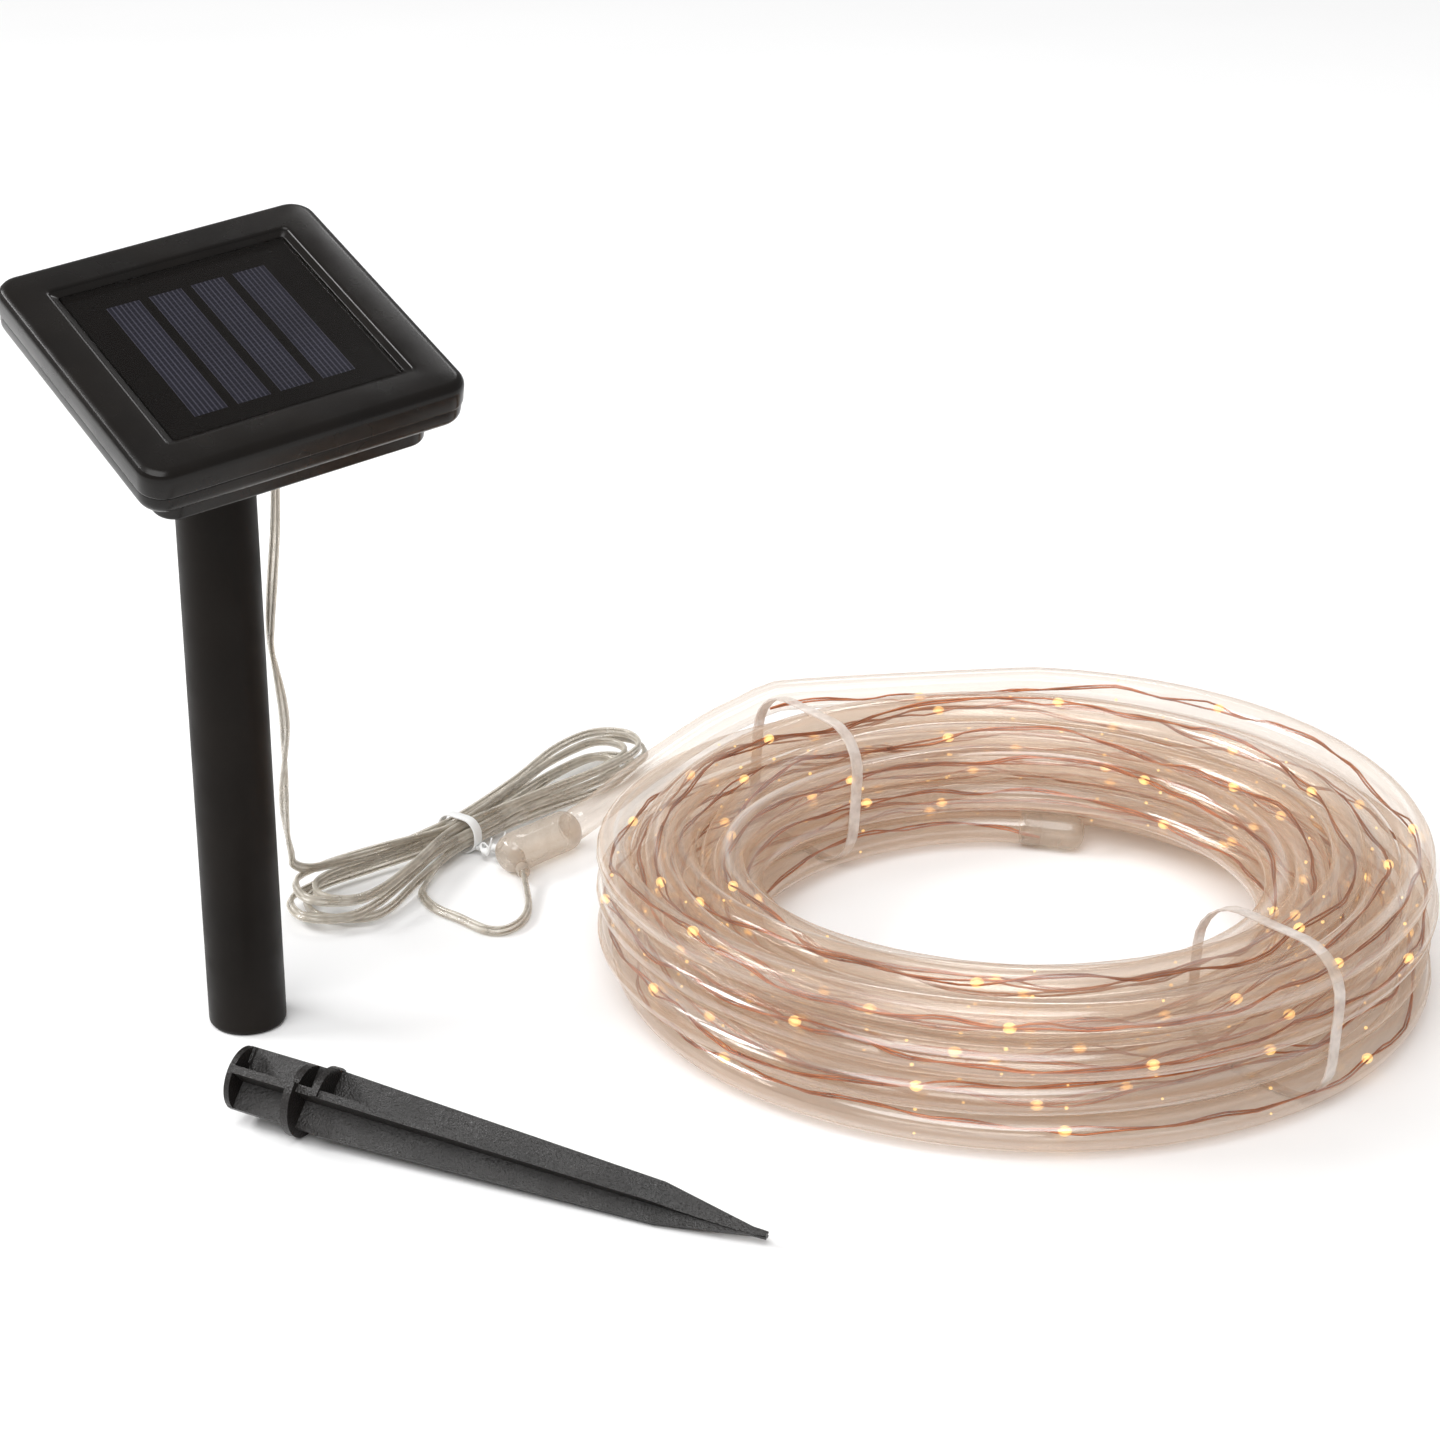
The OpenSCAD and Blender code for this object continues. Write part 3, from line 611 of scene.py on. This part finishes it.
# %% Bridge outlines into the upper shell


def bridged(name, rings, place, closed_ends=False):
    """Bridge a list of (side, corner, z) outlines, in millimetres, into one skin."""
    bm = bmesh.new()
    loops = [outline(bm, side * MM, side * MM, corner * MM, z * MM, 10) for side, corner, z in rings]
    if closed_ends:
        for edges in (loops[0], loops[-1]):
            bmesh.ops.contextual_create(bm, geom=edges)
        pairs = list(zip(loops, loops[1:]))
    else:
        pairs = list(zip(loops, loops[1:] + loops[:1]))
    for lower, upper in pairs:
        bmesh.ops.bridge_loops(bm, edges=lower + upper)
    bmesh.ops.recalc_face_normals(bm, faces=bm.faces)
    bmesh.ops.transform(bm, matrix=place, verts=bm.verts)
    piece = new_object(name, bm)
    piece.data.set_sharp_from_angle(angle=math.radians(40))
    return piece


def rounding(side, corner, z, radius, steps=6):
    """Outlines that round an upper edge of this radius."""
    found = []
    for i in range(steps + 1):
        a = math.radians(90 * i / steps)
        inwards = radius * (1 - math.cos(a))
        found.append((side - 2 * inwards, max(corner - inwards, 0.6), z - radius + radius * math.sin(a)))
    return found


upper_rings = ([(88.4, 5, 23.7), (91.6, 6.6, 23.7), (92.2, 6.9, 23.95), (92.4, 7, 24.4)]
               + rounding(92.4, 7, 31.5, 3)
               + [(71.6, 2, 31.5), (70.4, 1.7, 31.45), (69.6, 1.5, 31.2), (69.2, 1.4, 30.8), (66.2, 1.1, 30.25),
                  (65.9, 1, 30.1), (65.8, 1, 29.7), (65.8, 1, 28.7), (88.4, 5, 28.7)])
upper_shell = bridged("upper_shell", upper_rings, head_place)
print("upper shell has", len(upper_shell.data.polygons), "faces")

# %% [markdown]
# ## Softened mouldings
# The lower shell, the stake and the other moulded pieces already have their exact shape in the CAD
# model, screw holes and all. What they lack is the softened edge that every real moulding has. A merged
# copy of the node with a narrow bevel modifier gives that, and keeps the shape.

# %% Copy CAD nodes with softened edges


def moulded(name, node, soften):
    """A merged copy of a CAD node with its sharp edges softened, in millimetres."""
    bm = bmesh.new()
    bm.from_mesh(nodes[node].data)
    bmesh.ops.remove_doubles(bm, verts=bm.verts, dist=0.002 * MM)
    bmesh.ops.dissolve_limit(bm, angle_limit=math.radians(0.5), verts=bm.verts, edges=bm.edges)
    piece = new_object(name, bm)
    piece.data.set_sharp_from_angle(angle=math.radians(30))
    edge = piece.modifiers.new("soft_edges", "BEVEL")
    edge.width = soften * MM
    edge.segments = 2
    edge.limit_method = "ANGLE"
    edge.angle_limit = math.radians(40)
    edge.harden_normals = True
    return piece


lower_shell = moulded("lower_shell", "bottom_cover", 0.2)
stake = moulded("ground_stake", "stake", 0.3)
bracket = moulded("tilt_bracket_moulding", "tilt_bracket", 0.25)
knuckle = moulded("stem_knuckle_moulding", "stem_knuckle", 0.25)
battery_door = moulded("battery_door", "battery_lid", 0.12)
print("softened", lower_shell.name, stake.name, bracket.name, knuckle.name, battery_door.name)

# %% [markdown]
# ## The solar window and its cells
# Under a dark clear window lie four strips of solar cell. Each strip is scored into narrow cells by
# fine lines along its length, so the strips carry a UV map of their own for that pattern: U runs across
# the strip and V along it.

# %% Model the window and the cell strips
window = bridged("solar_pane", [(65.0, 0.8, 28.82), (65.4, 1.0, 29.0), (65.4, 1.0, 29.8), (65.1, 0.8, 30.1)],
                 head_place, closed_ends=True)
strips_bm = bmesh.new()
strip_uv = strips_bm.loops.layers.uv.new("strip")
for x in (-18.3, -6.1, 6.1, 18.3):
    before = set(strips_bm.verts)
    bmesh.ops.create_cube(strips_bm, size=1, matrix=Matrix.Translation(Vector((x, 0, 28.65)) * MM)
                          @ Matrix.Diagonal((9.3 * MM, 50 * MM, 0.28 * MM, 1)))
    for face in {f for v in strips_bm.verts if v not in before for f in v.link_faces}:
        for loop in face.loops:
            loop[strip_uv].uv = ((loop.vert.co.x / MM - x) / 9.3 + 0.5, loop.vert.co.y / MM / 50 + 0.5)
bmesh.ops.transform(strips_bm, matrix=head_place, verts=strips_bm.verts)
strips = new_object("cell_strips", strips_bm, smooth=False)
print("window and", len(strips.data.polygons) // 6, "cell strips")

# %% [markdown]
# ## The stem
# The stem is a plain tube with a socket for the stake at its foot. It is turned like the joint, but
# about a vertical axis. The inner wall is part of the same profile, so the open foot shows a real bore.

# %% Turn the stem
stem_profile = [(0, 8.9), (0, 9.2), (0.14, 9.9), (0.53, 10.47), (1.1, 10.86), (1.8, 11), (161.6, 11),
                (162.4, 10.88), (162.86, 10.5), (163, 9.9), (163, 8.9), (28, 8.9), (28, 4), (26, 4), (26, 8.9),
                (0, 8.9)]
upright = Matrix(((0, 0, 1, 0), (0, 1, 0, 0), (1, 0, 0, 0), (0, 0, 0, 1)))
stem = turned("stem_tube", stem_profile, upright, 96)

# %% [markdown]
# ## Finishes
# Every finish is made from nodes that read Object coordinates, so a pattern stays on its piece when the
# head tilts. Three small helpers cover most needs: an uneven colour, an uneven gloss and a fine grain in
# the surface. Noise scales are per metre, because the scene is in metres.

# %% Helpers for finishes


def new_finish(name, colour, rough, metal=0.0, coat=0.0, specular=0.5):
    """A material with one principled shader and its object coordinates."""
    material = bpy.data.materials.new(name)
    material.use_nodes = True
    tree = material.node_tree
    shader = tree.nodes["Principled BSDF"]
    for socket, value in (("Base Color", (*colour, 1)), ("Roughness", rough), ("Metallic", metal),
                          ("Coat Weight", coat), ("Coat Roughness", 0.12), ("Specular IOR Level", specular)):
        shader.inputs[socket].default_value = value
    place = tree.nodes.new("ShaderNodeTexCoord")
    return material, tree, shader, place.outputs["Object"]


def noise_of(tree, where, scale, detail=4.0, stretch=None):
    """The value of a noise pattern, stretched along an axis if asked."""
    pattern = tree.nodes.new("ShaderNodeTexNoise")
    pattern.inputs["Scale"].default_value = scale
    pattern.inputs["Detail"].default_value = detail
    if stretch:
        mapping = tree.nodes.new("ShaderNodeMapping")
        mapping.inputs["Scale"].default_value = stretch
        tree.links.new(where, mapping.inputs["Vector"])
        where = mapping.outputs["Vector"]
    tree.links.new(where, pattern.inputs["Vector"])
    return pattern.outputs["Fac"]


def ranged(tree, value, low, high, from_low=0.3, from_high=0.7):
    """Map a value onto another range."""
    node = tree.nodes.new("ShaderNodeMapRange")
    for socket, limit in (("From Min", from_low), ("From Max", from_high), ("To Min", low), ("To Max", high)):
        node.inputs[socket].default_value = limit
    tree.links.new(value, node.inputs["Value"])
    return node.outputs["Result"]


def product(tree, first, second):
    """Two shader values multiplied."""
    node = tree.nodes.new("ShaderNodeMath")
    node.operation = "MULTIPLY"
    tree.links.new(first, node.inputs[0])
    tree.links.new(second, node.inputs[1])
    return node.outputs["Value"]


def mixed(tree, factor, first, second):
    """A colour between two, by a factor. Each colour is a tuple or a socket."""
    node = tree.nodes.new("ShaderNodeMix")
    node.data_type = "RGBA"
    tree.links.new(factor, node.inputs["Factor"])
    for socket, colour in ((node.inputs["A"], first), (node.inputs["B"], second)):
        if isinstance(colour, tuple):
            socket.default_value = (*colour, 1)
        else:
            tree.links.new(colour, socket)
    return node.outputs["Result"]


def grained(tree, shader, height, depth):
    """Bump the surface by a pattern, with its depth in millimetres."""
    bump = tree.nodes.new("ShaderNodeBump")
    bump.inputs["Strength"].default_value = 1
    bump.inputs["Distance"].default_value = depth * MM
    tree.links.new(height, bump.inputs["Height"])
    tree.links.new(bump.outputs["Normal"], shader.inputs["Normal"])


def moulded_plastic(name, dark, light, rough_low, rough_high, grain_scale, grain_depth, specular=0.4):
    """Moulded plastic: cloudy colour, uneven gloss and a fine grain."""
    material, tree, shader, where = new_finish(name, dark, 0.4, specular=specular)
    cloud = noise_of(tree, where, 38, 5)
    tree.links.new(mixed(tree, ranged(tree, cloud, 0, 1), dark, light), shader.inputs["Base Color"])
    tree.links.new(ranged(tree, noise_of(tree, where, 90, 3), rough_low, rough_high), shader.inputs["Roughness"])
    grained(tree, shader, noise_of(tree, where, grain_scale, 2), grain_depth)
    return material


# %% [markdown]
# Black plastic on this set comes in three grades. The head has a fairly glossy skin with a brownish
# bloom, the stem is smoother and duller, and the stake is a rougher grade that catches grey light.

# %% Black plastics
head_black = moulded_plastic("head_black", (0.0042, 0.0032, 0.0026), (0.0072, 0.0052, 0.0038), 0.2, 0.3, 2600,
                             0.004, 0.27)
stem_black = moulded_plastic("stem_black", (0.0062, 0.0044, 0.0032), (0.0095, 0.0068, 0.005), 0.4, 0.55, 3200, 0.008,
                             0.13)
stake_black = moulded_plastic("stake_black", (0.0046, 0.0036, 0.0031), (0.0105, 0.0082, 0.0072), 0.27, 0.42, 1700,
                              0.3, 0.45)
seal_rubber = moulded_plastic("seal_rubber", (0.014, 0.014, 0.014), (0.026, 0.026, 0.026), 0.6, 0.8, 1500, 0.04, 0.3)
knob_black = moulded_plastic("knob_black", (0.02, 0.02, 0.02), (0.035, 0.034, 0.033), 0.45, 0.6, 2400, 0.02)
print("three black plastics, a rubber and a knob's finish")

# %% [markdown]
# ## Window and cells
# The pane is a smoked clear plastic: mostly dark, with some alpha so that the cells show through, and a
# clean gloss on top. The cells are slate blue, with dark score lines along each strip and a slightly
# brighter metallic grid line between them. The lines come from the strip's own UV map.

# %% Smoked pane and scored cells
pane_smoke, tree, shader, where = new_finish("pane_smoke", (0.0085, 0.0068, 0.0058), 0.16, 0, 0, 0.28)
tree.links.new(ranged(tree, noise_of(tree, where, 60, 3), 0.33, 0.37), shader.inputs["Alpha"])
tree.links.new(ranged(tree, noise_of(tree, where, 30, 2), 0.15, 0.19), shader.inputs["Roughness"])


def scored(tree, across, spacing, narrow, wide):
    """1 on lines this far apart across a pattern, and 0 between them."""
    line = tree.nodes.new("ShaderNodeMath")
    line.operation = "PINGPONG"
    line.inputs[1].default_value = spacing / 2
    tree.links.new(across, line.inputs[0])
    return ranged(tree, line.outputs["Value"], 1, 0, narrow, wide)


cell_blue, tree, shader, where = new_finish("cell_blue", (0.03, 0.032, 0.07), 0.34, 0.0, 0.2, 0.35)
uv = tree.nodes.new("ShaderNodeUVMap")
uv.uv_map = "strip"
split_uv = tree.nodes.new("ShaderNodeSeparateXYZ")
tree.links.new(uv.outputs["UV"], split_uv.inputs["Vector"])
slate = mixed(tree, ranged(tree, noise_of(tree, where, 120, 4), 0, 1), (0.022, 0.024, 0.055), (0.032, 0.034, 0.072))
fine = mixed(tree, scored(tree, split_uv.outputs["Y"], 1 / 34, 0.002, 0.005), slate, (0.06, 0.06, 0.105))
tree.links.new(mixed(tree, scored(tree, split_uv.outputs["X"], 1 / 7, 0.01, 0.03), fine, (0.24, 0.24, 0.33)),
               shader.inputs["Base Color"])
board_dark = moulded_plastic("board_dark", (0.016, 0.012, 0.0095), (0.021, 0.016, 0.0125), 0.6, 0.7, 300, 0.001, 0.1)

# %% [markdown]
# ## Metals and small electrical parts
# Screws are brushed steel and the wires are enamelled copper. The enamel makes the copper redder and
# duller than a polished pipe, so its metal is uneven along the wire.

# %% Metals


def metal_finish(name, dark, light, rough_low, rough_high, scale, stretch=None):
    """Metal with an uneven tone and brushing."""
    material, tree, shader, where = new_finish(name, dark, 0.3, 0.95)
    streak = noise_of(tree, where, scale, 4, stretch)
    tree.links.new(mixed(tree, ranged(tree, streak, 0, 1), dark, light), shader.inputs["Base Color"])
    tree.links.new(ranged(tree, streak, rough_low, rough_high), shader.inputs["Roughness"])
    grained(tree, shader, streak, 0.01)
    return material


screw_steel = metal_finish("screw_steel", (0.42, 0.41, 0.4), (0.62, 0.61, 0.6), 0.25, 0.42, 900, (1, 6, 1))
contact_nickel = metal_finish("contact_nickel", (0.55, 0.53, 0.5), (0.72, 0.7, 0.67), 0.2, 0.35, 700)
copper_enamel = metal_finish("copper_enamel", (0.36, 0.1, 0.04), (0.62, 0.23, 0.1), 0.26, 0.45, 160)
tinned_core = metal_finish("tinned_core", (0.3, 0.27, 0.23), (0.5, 0.46, 0.4), 0.25, 0.45, 420)
battery_green = moulded_plastic("battery_green", (0.03, 0.16, 0.08), (0.04, 0.22, 0.1), 0.2, 0.3, 900, 0.01)
board_green = moulded_plastic("board_green", (0.015, 0.09, 0.04), (0.02, 0.13, 0.06), 0.3, 0.45, 2200, 0.02)
chip_black = moulded_plastic("chip_black", (0.02, 0.02, 0.022), (0.04, 0.04, 0.042), 0.4, 0.55, 2600, 0.02)
wire_red = moulded_plastic("wire_red", (0.35, 0.02, 0.02), (0.45, 0.035, 0.03), 0.3, 0.4, 1400, 0.01)

# %% [markdown]
# ## Clear plastics
# Real clear plastic bends light, which needs many samples to settle. A rope of sixteen stacked turns is
# seen through thirty walls and more, so it is built as a film instead: mostly transparent with a faint
# warm tint, a little milky, and glossier and whiter where the wall is seen edge on. That keeps the
# look of a thin clear tube and stays free of noise. The longer the way through the bundle, the more
# tint piles up, just as it does in the real coil. On the rope, the peach of the tint and the milk is
# partly the plastic's own and partly painted reflection of the copper wires inside.

# %% Clear film
glare_lines = (25, 14, 1)
# White for the rope's lengthwise lines: partly extrusion lines, partly painted highlight streaks.
line_and_highlight_white = (0.98, 0.93, 0.88)


def clear_film(name, tint, milk, milk_share, edge_share, gloss_low, gloss_high, gloss_rough, streak=None,
               lengthwise=None):
    """A thin clear wall: tinted transparency, some milkiness, and gloss that grows towards its edges."""
    material = bpy.data.materials.new(name)
    material.use_nodes = True
    tree = material.node_tree
    tree.nodes.remove(tree.nodes["Principled BSDF"])
    out = tree.nodes["Material Output"]
    where = tree.nodes.new("ShaderNodeTexCoord").outputs["Object"]
    facing = tree.nodes.new("ShaderNodeLayerWeight")
    facing.inputs["Blend"].default_value = 0.5
    edge = tree.nodes.new("ShaderNodeMath")
    edge.operation = "POWER"
    edge.inputs[1].default_value = 3.0
    tree.links.new(facing.outputs["Facing"], edge.inputs[0])
    see_through = tree.nodes.new("ShaderNodeBsdfTransparent")
    see_through.inputs["Color"].default_value = (*tint, 1)
    milky = tree.nodes.new("ShaderNodeBsdfDiffuse")
    colour = mixed(tree, ranged(tree, noise_of(tree, where, 55, 4), 0, 1), tuple(c * 0.93 for c in milk), milk)
    share = ranged(tree, edge.outputs["Value"], milk_share, edge_share, 0, 1)
    if lengthwise:
        own_map = tree.nodes.new("ShaderNodeUVMap")
        own_map.uv_map = "UVMap"
        lines = noise_of(tree, own_map.outputs["UV"], 1, 2, lengthwise)
        # Whiter milk along the lines: partly extrusion lines, partly painted highlight streaks.
        colour = mixed(tree, ranged(tree, lines, 0, 1, 0.52, 0.66), colour, line_and_highlight_white)
        streak_value = ranged(tree, lines, 0.6, 1.6, 0.36, 0.68)
    else:
        streak_value = ranged(tree, noise_of(tree, where, streak, 5), 0.5, 1.5)
    share = product(tree, share, streak_value)
    tree.links.new(colour, milky.inputs["Color"])
    body = tree.nodes.new("ShaderNodeMixShader")
    tree.links.new(share, body.inputs["Fac"])
    tree.links.new(see_through.outputs["BSDF"], body.inputs[1])
    tree.links.new(milky.outputs["BSDF"], body.inputs[2])
    gloss = tree.nodes.new("ShaderNodeBsdfAnisotropic")
    gloss.inputs["Color"].default_value = (1, 1, 1, 1)
    gloss.inputs["Roughness"].default_value = gloss_rough
    surface = tree.nodes.new("ShaderNodeMixShader")
    gloss_share = ranged(tree, edge.outputs["Value"], gloss_low, gloss_high, 0, 1)
    if lengthwise:
        glare = noise_of(tree, own_map.outputs["UV"], 1, 1, glare_lines)
        gloss_share = product(tree, gloss_share, ranged(tree, glare, 0.3, 1.9, 0.42, 0.62))
    tree.links.new(gloss_share, surface.inputs["Fac"])
    tree.links.new(body.outputs["Shader"], surface.inputs[1])
    tree.links.new(gloss.outputs["BSDF"], surface.inputs[2])
    tree.links.new(surface.outputs["Shader"], out.inputs["Surface"])
    return material


# The rope's peach milk and warm tint: partly the plastic's own, partly painted reflection of the copper wires inside.
clear_rope = clear_film("clear_rope", (0.985, 0.96, 0.932), (0.72, 0.535, 0.39), 0.095, 0.52, 0.065, 0.33, 0.15,
                        lengthwise=(60, 8, 1))
clear_sheath = clear_film("clear_sheath", (0.94, 0.91, 0.86), (0.77, 0.71, 0.61), 0.35, 0.85, 0.06, 0.5, 0.18, 120)
joint_resin = clear_film("joint_resin", (0.93, 0.88, 0.82), (0.6, 0.52, 0.44), 0.3, 0.85, 0.05, 0.4, 0.16, 60)
strap_nylon = clear_film("strap_nylon", (0.96, 0.94, 0.92), (0.84, 0.76, 0.7), 0.5, 0.8, 0.04, 0.25, 0.3, 160)
tie_white = moulded_plastic("tie_white", (0.78, 0.78, 0.77), (0.88, 0.88, 0.87), 0.35, 0.5, 1200, 0.03)

# %% [markdown]
# The lights are on. Each chip gives warm light of its own, so it is a principled shader with plain
# emission values. The resin drop round it glows a deeper amber and lets the chip show through; its glow
# is painted light, the chip's light scattered in the resin.

# %% Glowing chips and their drops


def glowing(name, colour, emission, strength, alpha):
    """A finish that gives light, with a slightly uneven colour."""
    material, tree, shader, where = new_finish(name, colour, 0.4)
    shader.inputs["Emission Color"].default_value = (*emission, 1)
    shader.inputs["Emission Strength"].default_value = strength
    shader.inputs["Alpha"].default_value = alpha
    tree.links.new(mixed(tree, ranged(tree, noise_of(tree, where, 300), 0, 1), colour, tuple(c * 0.85 for c in colour)),
                   shader.inputs["Base Color"])
    return material


# The drop's emission is painted glow: the chip's light scattered in the resin.
drop_painted_glow = glowing("drop_painted_glow", (1.0, 0.66, 0.25), (1.0, 0.66, 0.24), 1.6, 0.3)
warm_glow = glowing("warm_glow", (1.0, 0.84, 0.5), (1.0, 0.84, 0.46), 45, 1)

# %% [markdown]
# ## Put the finishes on
# New pieces get their material directly. CAD nodes that stay on show get theirs the same way, and
# keep their own meshes.

# %% Assign the finishes


def give(piece, *finishes):
    """Put materials on a piece."""
    piece.data.materials.clear()
    for finish in finishes:
        piece.data.materials.append(finish)


give(lights, drop_painted_glow, warm_glow)
for finish, pieces in (
        (clear_rope, [rope]), (copper_enamel, wires), (clear_sheath, [lead]), (tinned_core, [lead_cores]),
        (joint_resin, [joint, nipple, cap]), (strap_nylon, coil_straps), (tie_white, [hank_tie, tie_ends]),
        (head_black, [upper_shell, lower_shell, bracket, knuckle, battery_door]), (pane_smoke, [window]),
        (cell_blue, [strips]), (stem_black, [stem]), (stake_black, [stake])):
    for piece in pieces:
        give(piece, finish)
for node, finish in {
        "cell_board": board_dark, "cover_seal": seal_rubber, "cover_screws": screw_steel, "lid_screws": screw_steel,
        "battery": battery_green, "battery_contacts": contact_nickel, "circuit_board": board_green,
        "circuit_parts": chip_black, "inner_wires": wire_red, "switch_body": screw_steel,
        "switch_knob": knob_black, "turn_clip": screw_steel, "cable_gland": seal_rubber,
        "pivot_nut": screw_steel, "pivot_screw": screw_steel}.items():
    give(nodes[node], finish)

# %% [markdown]
# ## What moves with what
# The CAD model has five bodies: the set itself, the tilting bracket, the head that turns on it, the
# switch's knob and the loose stake. Each new piece rides on one of them and stands for the CAD nodes
# that it replaces. The lead crosses the tilt hinge near the gland; it rides on none of them and stays
# where it was made.

# %% Ride and replace
for piece, body, slot, replaced in (
        (rope, "set", "rope_clear", ("rope_tail", "rope_coil")),
        (wires[0], "set", "copper", ("led_string",)), (wires[1], "set", "copper", ()),
        (lights, "set", "joint_clear", ()),
        (joint, "set", "joint_clear", ("rope_joint",)), (nipple, "set", "joint_clear", ()),
        (cap, "set", "joint_clear", ("rope_end_cap",)),
        (coil_straps[0], "set", "coil_tie", ("coil_tie_1",)), (coil_straps[1], "set", "coil_tie", ("coil_tie_2",)),
        (hank_tie, "set", "tie_white", ("hank_tie",)), (tie_ends, "set", "tie_white", ()),
        (upper_shell, "head", "head_shell", ("top_cover",)), (lower_shell, "head", "head_shell", ("bottom_cover",)),
        (battery_door, "head", "head_shell", ("battery_lid",)), (window, "head", "window", ("solar_window",)),
        (strips, "head", "cells", ("solar_cells",)), (bracket, "bracket", "hinge_black", ("tilt_bracket",)),
        (knuckle, "set", "hinge_black", ("stem_knuckle",)), (stem, "set", "stem_black", ("stem",)),
        (stake, "stake", "stake_black", ("stake",))):
    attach(piece, body)
    if replaced:
        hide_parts(*replaced)

for piece in (lead, lead_cores):
    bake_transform(piece)
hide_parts("lead_upper", "lead_hank", "lead_lower")

# %% [markdown]
# ## Floor and light
# A plain white floor and broad light suit clear plastic, which shows only what it reflects. A wide sun,
# as soft as a cloudy sky, keeps the floor evenly white with hardly a shadow. Narrow softboxes overhead,
# on the left and in front draw the long streaks along the rope and the sheen on the stake, and a dim
# world fills the rest so that the black plastic stays black.

# %% Floor and lights
floor_bm = bmesh.new()
bmesh.ops.create_grid(floor_bm, x_segments=1, y_segments=1, size=6)
floor = new_object("floor", floor_bm, smooth=False)
floor_white, tree, shader, where = new_finish("floor_white", (0.93, 0.93, 0.93), 0.9, 0, 0, 0.1)
tree.links.new(mixed(tree, ranged(tree, noise_of(tree, where, 3), 0, 1), (0.92, 0.92, 0.92), (0.94, 0.94, 0.94)),
               shader.inputs["Base Color"])
give(floor, floor_white)


def softbox(name, place, aim, size, power):
    """A rectangular area light aimed at a point."""
    data = bpy.data.lights.new(name, "AREA")
    data.shape = "RECTANGLE"
    data.size, data.size_y = size
    data.energy = power
    light = linked(name, data)
    light.location = place
    light.rotation_euler = (Vector(aim) - Vector(place)).to_track_quat("-Z", "Y").to_euler()


softbox("left_key", (-1.06, 0.16, 0.88), (0.1, 0.02, 0.08), (0.75, 0.3), 11)
softbox("front_streak", (0.3, -1.7, 1.5), (0.2, 0.0, 0.03), (1.6, 0.08), 3)
softbox("stake_sheen", (0.3, 0.9, 1.2), (0.08, -0.08, 0), (0.5, 0.2), 2)
sun_data = bpy.data.lights.new("wide_sun", "SUN")
sun_data.energy = 2.1
sun_data.angle = math.radians(50)
sun = linked("wide_sun", sun_data)
sun.rotation_euler = (math.radians(30), math.radians(-12), 0)
world = bpy.data.worlds.new("studio")
world.use_nodes = True
world.node_tree.nodes["Background"].inputs["Color"].default_value = (1, 1, 1, 1)
world.node_tree.nodes["Background"].inputs["Strength"].default_value = 0.38
scene = bpy.context.scene
scene.world = world
scene.view_settings.view_transform = "Standard"
scene.cycles.transparent_max_bounces = 80
